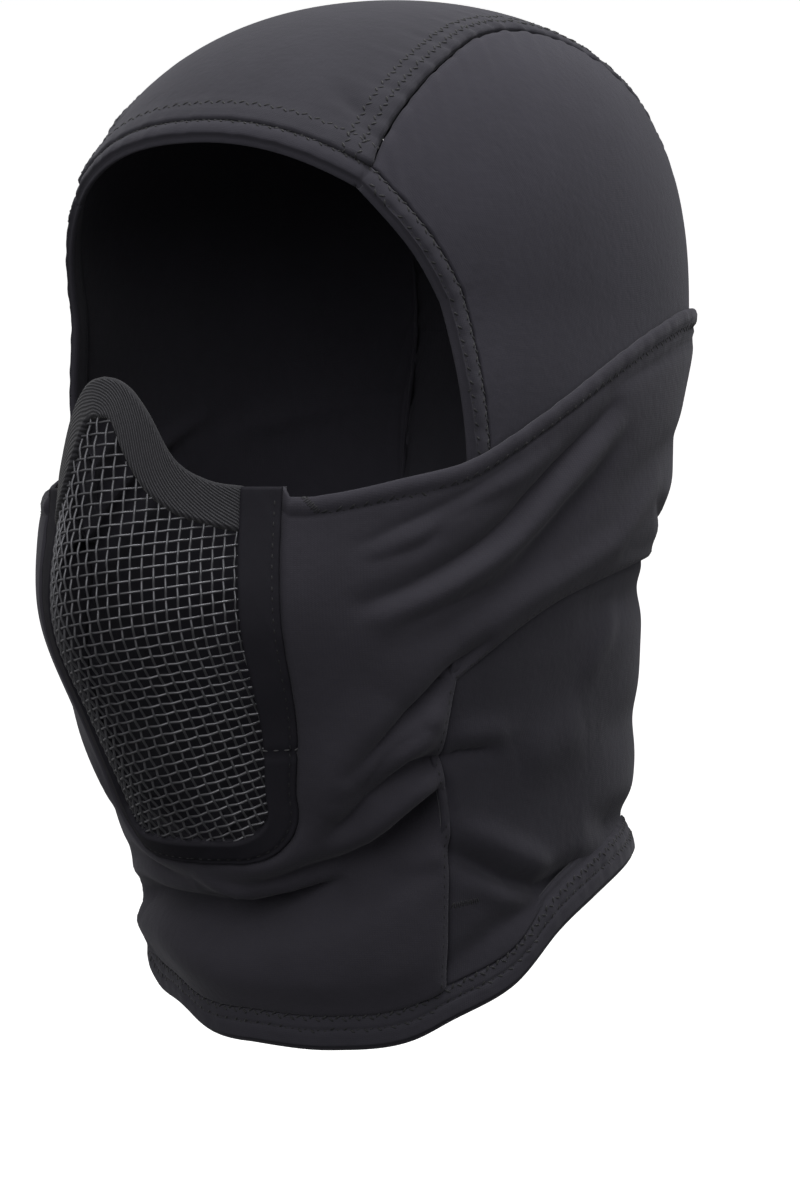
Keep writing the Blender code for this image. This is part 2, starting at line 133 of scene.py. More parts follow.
def walked(line):
    """How far along a line each of its spots lies."""
    return np.pad(np.linalg.norm(np.diff(line, axis=0), axis=1).cumsum(), (1, 0))


def drop_at(level):
    """Depth below the crown of a level: 0 is the crown, 1 the widest section."""
    above = CROWN_HEIGHT * (1 - np.cos(np.minimum(level, 1) * np.pi / 2))
    return above + np.maximum(level - 1, 0) * NECK_LENGTH


def level_at(drop):
    """Level of a depth below the crown."""
    above = np.arccos(ramp(1 - drop / CROWN_HEIGHT)) * 2 / np.pi
    return above + np.maximum(drop - CROWN_HEIGHT, 0) / NECK_LENGTH


def section(drop):
    """Centre, half width, front, back, power and cap height of the head form."""
    level = np.maximum(level_at(drop), 1)
    centre, wide, front, back, square = (
        smooth(SECTIONS, name, level) for name in ("centre", "wide", "front", "back", "square"))
    cap = ramp(1 - drop / CROWN_HEIGHT)
    centre = -centre * CENTRE_AHEAD * (1 - cap ** 2)
    return centre, wide * HALF_WIDTH, front * FACE_DEPTH, back * BACK_DEPTH, square, cap


def ring(angle, level):
    """Spot on the form at an angle from the face and a level."""
    drop = drop_at(level)
    centre, wide, front, back, square, cap = section(drop)
    turn = np.radians(angle)
    across, ahead = np.sin(turn), np.cos(turn)
    depth = np.where(ahead > 0, front, back)
    outline = np.abs(across / wide) ** square + np.abs(ahead / depth) ** square
    shrink = np.maximum(1 - cap ** CROWN_SQUARENESS, 0) ** (1 / CROWN_SQUARENESS)
    reach = outline ** (-1 / square) * shrink
    return join(reach * across, centre - reach * ahead, -drop)


def fullness(points):
    """Below 1 inside the form, 1 on it and above 1 outside."""
    x, y, z = np.moveaxis(points, -1, 0)
    centre, wide, front, back, square, cap = section(np.maximum(-z, 0))
    depth = np.where(y < centre, front, back)
    outline = np.abs(x / wide) ** square + np.abs((y - centre) / depth) ** square
    over = np.maximum(z, 0) / CROWN_HEIGHT
    return outline ** (CROWN_SQUARENESS / square) + (cap + over) ** CROWN_SQUARENESS


def cast(origins, rays):
    """Where rays that start inside the form meet it."""
    near = np.zeros(rays.shape[:-1] + (1,))
    far = near + 2 * (FACE_DEPTH + BACK_DEPTH)
    for _ in range(30):
        middle = (near + far) / 2
        inside = (fullness(origins + rays * middle) < 1)[..., None]
        near = np.where(inside, middle, near)
        far = np.where(inside, far, middle)
    return origins + rays * near


def outward(points):
    """Unit normals of the form."""
    slopes = [fullness(points + step) - fullness(points - step) for step in np.eye(3) * 0.00002]
    return unit(np.stack(slopes, -1))


def lift(points, height):
    """Spots of the form raised off it by one height or by a height each."""
    return points + outward(points) * np.broadcast_to(height, points.shape[:-1])[..., None]


def over_head(across, along, gap):
    """Spots of the crown panel, from seam to seam and from the brow to the back."""
    half = smooth(CROWN_SEAM, "half", along) * CROWN_PANEL_HALF
    brow = OPENING_PITCH - BROW_FALL * np.abs(across) ** 3
    pitch = np.radians(brow + (180 - brow) * along)
    x, turn = np.broadcast_arrays((half + gap) * across, pitch)
    centre = section(np.full(x.shape, CROWN_HEIGHT))[0]
    return cast(join(x, centre, -CROWN_HEIGHT), join(0.0, -np.cos(turn), np.sin(turn)))


def place(points):
    """Signed angle from the face and level of spots on the form."""
    drop = np.maximum(-points[..., 2], 0)
    return np.degrees(np.arctan2(points[..., 0], section(drop)[0] - points[..., 1])), level_at(drop)


def lower_edge(angle, up):
    """Level a height above the hood's lower edge."""
    from_face = 180 - np.abs(180 - np.abs(angle))
    level = smooth(LOWER_EDGE, "level", from_face)
    return level_at(drop_at(level) - up)


def panel_end(angle):
    """Level where the panels end, just above the neck hem."""
    return lower_edge(angle, NECK_HEM_HEIGHT + SEAM_GAP / 2)


def nape_angle(down):
    """Angle of the crown panel's seam below the widest section."""
    start = place(over_head(1.0, 1.0, 0.0))[0]
    return start + (NAPE_SEAM_ANGLE - start) * down


def hang(points):
    """Let the lower edge ride up on the wearer's right, as worn."""
    x, y, z = np.moveaxis(points, -1, 0)
    centre = section(np.maximum(-z, 0))[0]
    reach = np.hypot(x, y - centre)
    aside = np.maximum(-x, 0) / reach
    low = np.maximum(-z - CROWN_HEIGHT, 0) / NECK_LENGTH
    front = ramp(centre - y, 0.02)
    corner = HEM_CORNER * bell(aside - 0.42, 0.20) * low ** 3 * front
    flare = HEM_FLARE * bell(aside - 0.80, 0.20) * low ** 5 * front
    waist = WAIST * bell(z + WAIST_DEPTH, 0.0052) * ramp(y - centre, 0.02)
    flare = 1 + (flare - waist) / reach
    ride = HEM_RIDE * aside ** 1.3 * low ** 2
    return join(x * flare, centre + (y - centre) * flare, z + ride + corner)


def spaced(length, step):
    """Shares of a length a step apart, closer together at its two rounded edges."""
    near = np.array((0.0, 0.0002, 0.0006, 0.0012)) / length
    middle = np.linspace(near[-1], 1 - near[-1], max(2, round(length / step)))
    return np.concatenate((near[:-1], middle, 1 - near[-2::-1]))


def runs(spots):
    """How far each spot lies from its patch's front, back, top and bottom, along the cloth."""
    over = np.linalg.norm(np.diff(spots, axis=1), axis=-1).cumsum(1)
    down = np.linalg.norm(np.diff(spots, axis=0), axis=-1).cumsum(0)
    over, down = np.pad(over, ((0, 0), (1, 0))), np.pad(down, ((1, 0), (0, 0)))
    return over, over[:, -1:] - over, down, down[-1:] - down


def walled(distance, wall):
    """Thickness of cloth that is rounded over towards its edge."""
    inside = ramp(distance, wall)
    return wall * np.sqrt(1 - (1 - inside) ** 2)


def puckers(distance, along, reach, height):
    """Small gathers that a line of stitches pulls into stretch cloth."""
    wave = (np.sin(along * 690) + 0.7 * np.sin(along * 1130 + 1.3)
            + 0.6 * np.sin(along * 410 + 2.1 + 3 * np.sin(along * 60)))
    return height * wave * np.exp(-(distance / reach) ** 1.3)


def sew(name, patches, finish):
    """Closed piece from patches of spots, each with its wall and flat place."""
    spots, walls, flats, cells, count = [], [], [], [], 0
    for patch, wall, flat in patches:
        at = np.arange(patch[..., 0].size).reshape(patch.shape[:2]) + count
        cell = np.stack((at[:-1, :-1], at[:-1, 1:], at[1:, 1:], at[1:, :-1]), -1)
        cells.append(cell.reshape(-1, 4))
        spots.append(hang(patch).reshape(-1, 3))
        walls.append(np.broadcast_to(wall, patch.shape[:2]).ravel())
        flats.append(flat.reshape(-1, 2))
        count += at.size
    spots, walls, flats, cells = map(np.concatenate, (spots, walls, flats, cells))
    mesh = bpy.data.meshes.new(name)
    mesh.from_pydata(spots.tolist(), [], cells.tolist())
    mesh.attributes.new("wall", "FLOAT", "POINT").data.foreach_set("value", walls)
    mesh.uv_layers.new(name="cloth").data.foreach_set("uv", flats[cells.ravel()].ravel())

    sheet = bmesh.new()
    sheet.from_mesh(mesh)
    bmesh.ops.remove_doubles(sheet, verts=sheet.verts, dist=0.00003)
    bmesh.ops.recalc_face_normals(sheet, faces=sheet.faces)
    inner = list(sheet.faces)
    facing = 0
    for cell in inner[::7]:
        spot = cell.calc_center_median()
        facing += cell.normal.dot(spot - Vector((0, -CENTRE_AHEAD, min(spot.z, -CROWN_HEIGHT))))
    if facing < 0:
        bmesh.ops.reverse_faces(sheet, faces=inner)
    sheet.normal_update()
    wall = sheet.verts.layers.float["wall"]
    outer = bmesh.ops.duplicate(sheet, geom=list(sheet.verts) + list(sheet.edges) + inner)
    for vert in outer["geom"]:
        if isinstance(vert, bmesh.types.BMVert):
            vert.co += vert.normal * vert[wall]
    bmesh.ops.reverse_faces(sheet, faces=inner)
    rim = [vert for vert in sheet.verts if vert[wall] < 0.000001]
    bmesh.ops.remove_doubles(sheet, verts=rim, dist=0.000002)
    sheet.to_mesh(mesh)
    sheet.free()
    mesh.shade_smooth()
    mesh.materials.append(finish)
    return stand(name, mesh)


def stand(name, data):
    """New object of the scene that holds a mesh, a light or a camera."""
    piece = bpy.data.objects.new(name, data)
    bpy.context.scene.collection.objects.link(piece)
    return piece


class Mark:
    """A value that varies over a piece. Sums and products of marks add Math nodes."""

    def __init__(self, socket):
        self.socket = socket

    def add(self, kind, links=(), out=0, **settings):
        """New node with its settings and its inputs, as the mark of one output."""
        tree = self.socket.id_data
        node = tree.nodes.new(kind)
        for name, value in settings.items():
            setattr(node, name, value)
        for name, value in dict(links).items():
            if isinstance(value, Mark):
                tree.links.new(value.socket, node.inputs[name])
            else:
                node.inputs[name].default_value = value
        return Mark(node.outputs[out])

    def maths(self, operation, *others):
        return self.add("ShaderNodeMath", enumerate((self, *others)), operation=operation)

    __add__ = __radd__ = partialmethod(maths, "ADD")
    __mul__ = __rmul__ = partialmethod(maths, "MULTIPLY")
    __sub__ = partialmethod(maths, "SUBTRACT")
    __truediv__ = partialmethod(maths, "DIVIDE")
    __pow__ = partialmethod(maths, "POWER")

    def __rsub__(self, other):
        return self * -1 + other

    def wave(self, length, shape="SINE"):
        """Even wave between 0 and 1."""
        return (self * (2 * np.pi / length)).maths(shape) * 0.5 + 0.5

    def part(self, axis):
        """One coordinate of a vector."""
        return self.add("ShaderNodeSeparateXYZ", {0: self}, axis)

    def noise(self, scale, detail=2.0):
        """Soft random patches between 0 and 1 at a vector."""
        return self.add("ShaderNodeTexNoise", {"Vector": self, "Scale": scale, "Detail": detail})

    def mixed(self, dark, pale):
        """Colour between two others."""
        return self.add("ShaderNodeMix", {0: self, 6: (*dark, 1), 7: (*pale, 1)}, 2,
                        data_type="RGBA")

    def bump(self, strength, distance, **below):
        """Normal of a surface that stands up by a distance where the mark is 1."""
        return self.add("ShaderNodeBump", {
            "Strength": strength, "Distance": distance, "Height": self, **below})


def start_finish(name, **settings):
    """New material with its constant settings, its shader, and a first mark."""
    finish = bpy.data.materials.new(name)
    finish.use_nodes = True
    shader = finish.node_tree.nodes["Principled BSDF"]
    for key, value in settings.items():
        shader.inputs[key.replace("_", " ")].default_value = value
    return finish, shader, Mark(shader.outputs[0])


def places(mark):
    """Place in the piece, and the two coordinates on the cloth laid flat."""
    flat = mark.add("ShaderNodeUVMap", uv_map="cloth")
    return mark.add("ShaderNodeTexCoord", out="Object"), flat.part(0), flat.part(1)


def show(shader, **marks):
    """Let marks drive the inputs of a shader."""
    for name, mark in marks.items():
        mark.socket.id_data.links.new(mark.socket, shader.inputs[name.replace("_", " ")])


def jersey(name, colour, shade=0.12, painted_low_shade=0.0):
    """Matt knitted stretch cloth, with painted shade that darkens it by a share low down."""
    finish, shader, mark = start_finish(
        name, Sheen_Weight=0.18, Sheen_Roughness=0.45, Specular_IOR_Level=0.25,
        Sheen_Tint=(0.72, 0.72, 0.78, 1))
    body, wale, course = places(mark)
    lean = (wale * (1 / 0.00062)).maths("PINGPONG", 0.5)
    loops = (course * (1 / 0.00050) + lean * 0.9).wave(1)
    knit = loops * 0.55 + (lean * 2) ** 0.7 * 0.45
    heather = body.noise(2600.0, 1.0)
    dye = body.noise(22.0) * 0.6 + body.noise(160.0) * 0.25
    # Painted shade: the colour is darkened towards the bottom of the hood, by the object's height,
    # by a share that the last argument sets.
    loose = (body.part(2) * -25.0 - 3.6).maths("MAXIMUM", 0.0).maths("MINIMUM", 1.0)
    tone = dye + heather * 0.35 + knit * 0.18 - 0.69 - loose * painted_low_shade + 0.5
    dark, pale = ([channel * (1 + change * shade) for channel in colour] for change in (-2.6, 2.6))
    soft = body.noise(420.0).bump(0.25, 0.0006, Normal=knit.bump(0.35, 0.00012))
    show(shader, Base_Color=tone.mixed(dark, pale), Roughness=heather * 0.14 + 0.80, Normal=soft)
    return finish


def crown_grid(edge):
    """Crown panel's spots, drawn in by an edge's width at its seams and ends."""
    across, along, down = (spaced(length, CLOTH_STEP)[:, None] for length in CROWN_LENGTHS)
    across, down = across[:, 0] * 2 - 1, down[1:]
    over = over_head(across, along, -edge)
    side = 180 - nape_angle(down) - np.degrees(edge / HALF_WIDTH)
    angle = 180 - across * side
    return np.concatenate((over, ring(angle, 1 + (panel_end(angle) - 1) * down)))


# Painted light: the crown's jersey is a little paler than the side panels' same jersey, for the
# light on the top of the hood.
crown_cloth = jersey("crown_jersey", (0.050, 0.0483, 0.0600))
crown = crown_grid(SEAM_GAP / 2)
front, back, top, bottom = runs(crown)
from_seam = np.minimum(front, back)
to_edge = np.min((front, back, top * 2, bottom * 3), axis=0)
pressed = ledge(0.0005, from_seam, 0.0075, 0.0006)
rows = sum(bell(from_seam - row, 0.0006) for row in CROWN_ROWS)
brow_row = bell(top - BROW_ROW, 0.0007)
turned = ledge(0.0006, top, 0.0068, 0.0006)
off_corner = (top - 0.008 - 0.55 * from_seam) * 0.876
dimple = np.exp(-(off_corner / 0.003) ** 2 - ((from_seam - 0.009) / 0.008) ** 2)
height = pressed + turned - 0.0003 * rows - 0.0004 * brow_row - 0.0011 * dimple
height += puckers(from_seam, top, 0.009, 0.00022)
height += puckers(top, front, 0.006, 0.00010)
height -= 0.0009 * bell(from_seam, 0.0011)
height *= np.clip(to_edge / 0.0004, 0.3, 1)
crown_patch = lift(crown, height), walled(to_edge, CLOTH), join(crown[..., 0], top)
crown_panel = sew("crown_panel_cloth", [crown_patch], crown_cloth)
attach(crown_panel, "root")
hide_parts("crown_panel")

# Side panels. The same jersey, one on each side, from the crown seam round the
# ear to the nape seam and down to the neck hem. Its front edge makes the side
# of the eye opening and lies under the face panel below that.
FRONT_EDGE = table(
    "share angle",
    (0.130, 46.2), (0.250, 53.4), (0.335, 57.3), (0.425, 59.2), (0.540, 57.6), (0.605, 53.2),
    (0.645, 49.0), (0.693, 46.0), (0.740, 44.5), (0.795, 45.2), (0.870, 43.0))
OPENING_END = 0.500
SEAM_TOP = 0.645
SEAM_HEM_ANGLE = 40.0
SEAM_LAP = 0.0025
SIDE_LENGTHS = (0.185, 0.215)

# Upper and lower edge of the face panel's wings, which lie over the side panels.
WING_TOP = table(
    "angle level",
    (27.0, 1.248), (32.0, 1.241), (41.0, 1.225), (54.0, 1.201), (65.0, 1.164), (76.0, 1.127),
    (104.0, 1.046), (134.0, 0.992), (180.0, 0.975))
WING_LOW = table(
    "angle level",
    (63.8, 1.415), (75.4, 1.382), (96.1, 1.347), (111.6, 1.329), (150.3, 1.310), (180.0, 1.305))

# Folds: width and rise in millimetres, how sharp the fold is, then the angle and
# the level of each of its spots on the form. Valleys of the face panel press into
# what lies under.
FACE_FOLDS = (
    (1.8, -1.0, 1.6, 64, 1.199, 54, 1.238, 46, 1.264, 40, 1.283, 34, 1.306),
    (2.2, 1.2, 2.0, 74, 1.185, 58, 1.241, 51, 1.269, 44, 1.292, 37, 1.315),
    (1.8, -1.2, 1.6, 62, 1.236, 56, 1.252, 49, 1.275, 44, 1.303, 36, 1.324),
    (2.9, -3.5, 1.7, 94, 1.130, 85, 1.168, 76, 1.207, 68, 1.246, 63, 1.275, 57, 1.302, 49, 1.331,
     42, 1.354, 35, 1.373),
    (3.2, 2.6, 2.0, 96, 1.156, 87, 1.190, 78, 1.231, 70, 1.272, 62, 1.306, 54, 1.335, 46, 1.363,
     38, 1.386),
    (5.0, -2.4, 2.0, 97, 1.171, 89, 1.222, 80, 1.259, 72, 1.297, 66, 1.334, 58, 1.368, 50, 1.399,
     40, 1.417),
    (2.0, -1.2, 1.6, 58, 1.352, 48, 1.375, 41, 1.396),
    (4.0, 1.8, 2.0, 116, 1.220, 99, 1.297, 78, 1.345, 66, 1.371, 54, 1.405),
    (1.6, -0.9, 1.6, 150, 1.022, 128, 1.042, 106, 1.083, 92, 1.112),
    (2.4, -1.6, 1.6, 119, 1.246, 132, 1.268, 146, 1.280),
    (2.4, -6.2, 1.6, 58, 1.422, 50, 1.455, 46, 1.477, 42, 1.498, 37, 1.524, 29, 1.573),
    (1.6, 1.6, 2.0, 44, 1.502, 38, 1.526, 34, 1.550, 29, 1.588),
    (1.8, -3.8, 1.6, 42, 1.518, 37, 1.542, 34, 1.560, 31, 1.580, 27, 1.604),
    (3.4, 2.2, 2.2, 50, 1.480, 45, 1.506, 40, 1.532, 36, 1.557, 30, 1.595, 24, 1.637, 18, 1.668,
     10, 1.698),
    (3.6, -7.0, 1.8, 56, 1.552, 47, 1.561, 40, 1.566, 36, 1.580, 31, 1.604, 27, 1.632, 22, 1.656),
    (3.0, 2.2, 2.0, 48, 1.584, 40, 1.602, 36, 1.618, 30, 1.646, 24, 1.667),
    (3.2, -5.2, 1.8, 52, 1.588, 44, 1.618, 40, 1.641, 36, 1.662, 32, 1.678, 25, 1.692, 18, 1.702,
     11, 1.710),
    (5.6, -9.2, 2.2, -46, 1.782, -32, 1.775, -18, 1.770, -9, 1.767, -2, 1.766, 6, 1.763, 14,
     1.750, 22, 1.733, 28, 1.715, 33, 1.696, 38, 1.670, 43, 1.638, 52, 1.590),
    (4.2, 3.4, 2.0, 49, 1.655, 42, 1.675, 36, 1.689, 30, 1.712, 24, 1.732, 17, 1.758, 10, 1.785),
    (2.5, -1.1, 2.0, 46, 1.694, 32, 1.722, 24, 1.750, 17, 1.785),
    (2.2, 3.2, 1.8, -1, 1.706, 3, 1.722, 7, 1.734, 14, 1.729, 24, 1.710),
    (1.8, -3.0, 1.8, -2, 1.742, 6, 1.753, 14, 1.745, 24, 1.724),
    (3.4, -2.4, 2.0, -36, 1.722, -16, 1.706, -4, 1.703),
    (3.0, 1.8, 2.0, -38, 1.742, -18, 1.730, -5, 1.728),
    (13.0, 4.2, 2.0, 22, 1.612, 33, 1.562, 42, 1.512),
    (11.0, -3.0, 2.0, 54, 1.590, 40, 1.650, 28, 1.700, 10, 1.742, -30, 1.752),
    (11.0, 2.0, 2.0, -50, 1.800, -30, 1.815, 0, 1.835, 30, 1.815, 44, 1.790),
    (8.0, 2.8, 2.0, -70, 1.770, -52, 1.786, -36, 1.800),
    (7.0, -3.8, 2.0, -30, 1.238, -54, 1.205, -76, 1.140),
    (5.0, 1.4, 2.0, -51, 1.450, -38, 1.520, -26, 1.600, -14, 1.664),
    (4.0, -2.8, 1.8, -40, 1.560, -26, 1.645),
    (3.0, -2.6, 1.7, -104, 1.130, -76, 1.215, -58, 1.285, -40, 1.345),
    (3.2, 2.3, 2.0, -100, 1.160, -72, 1.255, -52, 1.330, -38, 1.372),
    (5.0, -2.1, 2.0, -96, 1.215, -70, 1.300, -50, 1.395),
    (1.8, -1.1, 1.6, -62, 1.215, -42, 1.290),
    (4.5, -1.0, 1.8, 160, 1.135, 140, 1.150, 118, 1.182, 98, 1.235),
    (4.5, 0.9, 2.0, 158, 1.190, 140, 1.205, 118, 1.245),
    (5.0, -1.8, 2.0, 106, 1.322, 128, 1.312, 150, 1.306),
    (3.4, -1.6, 1.8, -160, 1.085, -140, 1.105, -112, 1.150),
    (4.2, 1.8, 2.0, -162, 1.150, -136, 1.175, -104, 1.240))
SIDE_FOLDS = (
    (8.0, 1.6, 2.0, 66, 1.565, 78, 1.548, 92, 1.532),
    (1.5, -2.4, 1.4, 44, 1.562, 48, 1.559, 51, 1.554, 59, 1.550),
    (3.6, 1.4, 2.0, 49, 1.536, 64, 1.528),
    (4.2, 2.2, 2.0, 49, 1.652, 59, 1.673, 68, 1.694, 76, 1.712),
    (3.6, -3.6, 1.9, 43, 1.668, 47, 1.680, 54, 1.697, 61, 1.718, 70, 1.728, 86, 1.708),
    (3.0, 1.3, 2.0, 49, 1.720, 63, 1.742, 78, 1.738),
    (3.6, -2.2, 2.0, 43, 1.826, 56, 1.776, 70, 1.744, 86, 1.714, 106, 1.690),
    (4.0, 1.0, 2.0, 107, 1.373, 101, 1.422, 92, 1.471),
    (6.0, -2.6, 2.0, 94, 1.376, 116, 1.362, 142, 1.352),
    (8.0, -1.6, 2.0, 100, 1.540, 118, 1.530, 146, 1.525),
    (5.5, -1.4, 2.0, 98, 1.668, 114, 1.656, 136, 1.648))


def seat(points):
    """Points pushed straight out from the head's middle onto the form."""
    drop = np.maximum(-points[..., 2], CROWN_HEIGHT)
    centre = section(drop)[0]
    origins = join(0.0, centre, -drop)
    return cast(origins, unit(points - origins))


def coons(top, bottom, front, back, s, t):
    """Patch of points filling four edges that meet at their corners."""
    s, t = s[None, :, None], t[:, None, None]
    ruled = (1 - t) * top[None] + t * bottom[None] + (1 - s) * front[:, None] + s * back[:, None]
    corners = ((1 - t) * ((1 - s) * top[0] + s * top[-1])
               + t * ((1 - s) * bottom[0] + s * bottom[-1]))
    return ruled - corners


def front_edge(share, lap):
    """Front edge of the side panel, moved back along the form by a lap."""
    corner_angle, corner_level = place(over_head(1.0, 0.0, SEAM_GAP / 2))
    edge = {"share": np.concatenate(([0.0], FRONT_EDGE["share"], [1.0])),
            "angle": np.concatenate(([corner_angle], FRONT_EDGE["angle"], [SEAM_HEM_ANGLE]))}
    level = corner_level + (panel_end(SEAM_HEM_ANGLE) - corner_level) * share
    return ring(smooth(edge, "angle", share) + np.degrees(lap / HALF_WIDTH), level)


def folded(points, folds, side=1):
    """How far a list of folds raises the cloth at spots of the form."""
    angle, level = place(points)
    around, down = np.radians(angle) * HALF_WIDTH * side, drop_at(level)
    height = np.zeros(around.shape)
    for width, rise, sharp, *path in folds:
        path = np.array([(np.radians(a) * HALF_WIDTH, drop_at(b))
                         for a, b in zip(path[::2], path[1::2])])
        steps = np.diff(path, axis=0)
        lengths = np.linalg.norm(steps, axis=1)
        nearest, reached = np.full(around.shape, 9.0), np.zeros(around.shape)
        for start, step, length, done in zip(path, steps, lengths, np.cumsum(lengths) - lengths):
            share = ((around - start[0]) * step[0] + (down - start[1]) * step[1]) / length ** 2
            share = ramp(share)
            away = np.hypot(around - start[0] - share * step[0],
                            down - start[1] - share * step[1])
            reached = np.where(away < nearest, done + share * length, reached)
            nearest = np.minimum(away, nearest)
        ends = np.minimum(reached, lengths.sum() - reached) / lengths.sum()
        fade = 0.35 + 0.65 * np.sin(ramp(ends * 3) * np.pi / 2)
        height += rise * 0.001 * fade * np.exp(-(nearest / (width * 0.001)) ** sharp)
    return height * ramp(180 - np.abs(angle), 14)


def under_wing(points, start=0.5):
    """1 where the hood lies under a wing of the face panel, and 0 beside it."""
    angle, level = place(points)
    top = smooth(WING_TOP, "level", np.abs(angle))
    low = smooth(WING_LOW, "level", np.abs(angle))
    return ramp((level - top) / 0.03 + start) * ramp((low - level) / 0.03 + 1.2)


def side_grid():
    """Left side panel's spots, from the crown seam to the neck hem."""
    s, t = (spaced(length, CLOTH_STEP) for length in SIDE_LENGTHS)
    top = over_head(1.0, s, SEAM_GAP / 2)
    seam = nape_angle(t) - np.degrees(SEAM_GAP / 2 / HALF_WIDTH)
    back = ring(seam, 1 + (panel_end(seam) - 1) * t)
    front = front_edge(t, 0)
    round_neck = SEAM_HEM_ANGLE + (seam[-1] - SEAM_HEM_ANGLE) * s
    bottom = ring(round_neck, panel_end(round_neck))
    back[0], front[0], front[-1], back[-1] = top[-1], top[0], bottom[0], bottom[-1]
    points = seat(coons(top, bottom, front, back, s, t))
    points[0], points[-1], points[:, 0], points[:, -1] = top, bottom, front, back
    return points


# Painted shade: the side panels' jersey is a little darker than the crown's, though it is the same
# cloth.
side_cloth = jersey("side_jersey", (0.047, 0.0447, 0.0580), painted_low_shade=0.35)
side = side_grid()
front, back, top, bottom = runs(side)
to_edge = np.min((front * 2, back, top, bottom * 3), axis=0)
seams = np.minimum(top, back)
height = folded(side, SIDE_FOLDS)
height += puckers(seams, front + top, 0.010, 0.00020)
height += puckers(front, top, 0.007, 0.00008)
height -= 0.0009 * bell(seams, 0.0011)
sewn_over = ramp(spaced(SIDE_LENGTHS[1], CLOTH_STEP)[:, None] - SEAM_TOP, 0.02)
height -= 0.0009 * sewn_over * bell(front - SEAM_LAP - 0.0007, 0.0011)
side_panels = {}
for name, way in (("side_panel_left", 1), ("side_panel_right", -1)):
    points = side * (way, 1, 1)
    pressed = under_wing(points) * np.minimum(folded(points, FACE_FOLDS), 0)
    patch = lift(points, height + pressed), walled(to_edge, CLOTH), join(front, top)
    piece = sew(name + "_cloth", [patch], side_cloth)
    side_panels[way] = piece
    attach(piece, "root")
    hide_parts(name)

# Hem of the eye opening. The panels' edge is turned in twice and overlocked
# with stretch thread, which makes a soft rolled lip all round the opening. Its
# allowance lies behind the panels, and its ends go under the face panel.
OPENING_HEM_THICK = 0.0024
OPENING_ROW = 0.0045
OPENING_LENGTH = 0.36


def evenly(line, step):
    """A line of points walked in equal steps."""
    far = walked(line)
    at = np.linspace(0, far[-1], round(far[-1] / step) + 1)
    return np.stack([np.interp(at, far, line[:, k]) for k in range(3)], -1)


def opening_line():
    """Line that the panels' front edges make round the eye opening."""
    brow = over_head(np.linspace(-1, 1, 121), 0.0, 0.0)
    left = front_edge(np.linspace(0.004, OPENING_END, 160), 0)
    return evenly(np.concatenate((left[::-1] * (-1, 1, 1), brow, left)), 0.0011)


def inside_of(line):
    """Unit directions from a line of the hood into the eye opening."""
    return unit(np.cross(np.gradient(line, axis=0), outward(line)))


opening = opening_line()
into = inside_of(opening)
hem_steps = np.array((-3.0, -2.6, -1.5, -0.2, 0.1, 0.3, 0.6, 1.0, 1.6, 2.3, 3.0, 3.6, 4.1, 4.5,
                      4.9, 5.4, 5.9, 6.3, 6.6, 6.85, 7.0)) * 0.001
lip = ramp(hem_steps - 0.0052, 0.0018)
base = np.where(hem_steps < 0, -0.0009, CLOTH - OPENING_HEM_THICK)
base = base + 0.0013 * (1 - np.sqrt(1 - lip ** 2))
roll = np.sin(np.pi * ramp(hem_steps + 0.0001, 0.0071)) ** 0.75
top = np.where(hem_steps < 0, -0.0005, 0.0006 + 0.0013 * roll)
run = np.linspace(0, OPENING_LENGTH, len(opening))[:, None]
brow_part = np.abs(opening[:, 2:]) < 0.060
side_row = np.where(brow_part, 0, 0.00045) * bell(hem_steps - OPENING_ROW, 0.0006)
top = top - side_row + puckers(0.0, run, 1.0, 0.00008) * ramp(hem_steps, 0.002)
seam_end = np.abs(np.abs(opening[:, :1]) - CROWN_PANEL_HALF * CROWN_SEAM["half"][0])
crease = bell(seam_end, 0.0010) * brow_part * ramp(hem_steps, 0.001)
wall = np.maximum(top - 0.0008 * crease - base, 0)
wall[:, 0], wall[:, -1], wall[0], wall[-1] = 0, 0, 0, 0
strip = seat(opening[:, None] + into[:, None] * hem_steps[:, None])
pressed = under_wing(strip, -0.8) * np.minimum(folded(strip, FACE_FOLDS), 0)
hem_patch = lift(strip, base + pressed), wall, join(run, hem_steps)
hem_cloth = jersey("hem_jersey", (0.045, 0.0430, 0.0550), painted_low_shade=0.10)
opening_hem = sew("opening_hem_cloth", [hem_patch], hem_cloth)
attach(opening_hem, "root")
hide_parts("opening_hem")

# Face panel. A second layer of thinner, darker jersey round the mask. Its bib
# hangs from the mask to the neck hem and its wings wrap round the hood to meet
# at the back, where it is pulled into long soft folds.
MASK_TOP = 0.1076
MASK_HEIGHT = 0.1190
MASK_HALF_WIDTH = 0.0300
MASK_BULGE = 0.0200
MASK_CORNER = 0.0110
CHIN_END, CORNER_END, MASK_END = 4, 9, 20
BIB_HEM_END, BIB_SEAM_END = 6, 14
WING_EASE = 0.0012
WING_ROW = 0.0047
WING_ROOT_ANGLE = 54.0
FACE_LENGTHS = (0.058, 0.036, 0.155)
MASK_ROWS = table(
    "down half bulge round",
    (0.00, 0.955, 0.800, 1.65), (0.10, 0.955, 0.900, 1.65), (0.19, 0.955, 0.930, 1.70),
    (0.27, 0.957, 0.920, 1.80), (0.36, 0.975, 0.910, 1.90), (0.47, 1.000, 0.820, 2.00),
    (0.60, 0.990, 0.780, 2.00), (0.70, 0.950, 0.670, 2.00), (0.78, 0.903, 0.600, 2.00),
    (0.90, 0.800, 0.430, 2.00), (1.00, 0.740, 0.180, 2.00), (1.08, 0.720, 0.020, 2.00))
BINDING = table(
    "along width",
    (0.0, 0.0066), (5.0, 0.0066), (9.0, 0.0068), (13.0, 0.0082), (20.0, 0.0096))
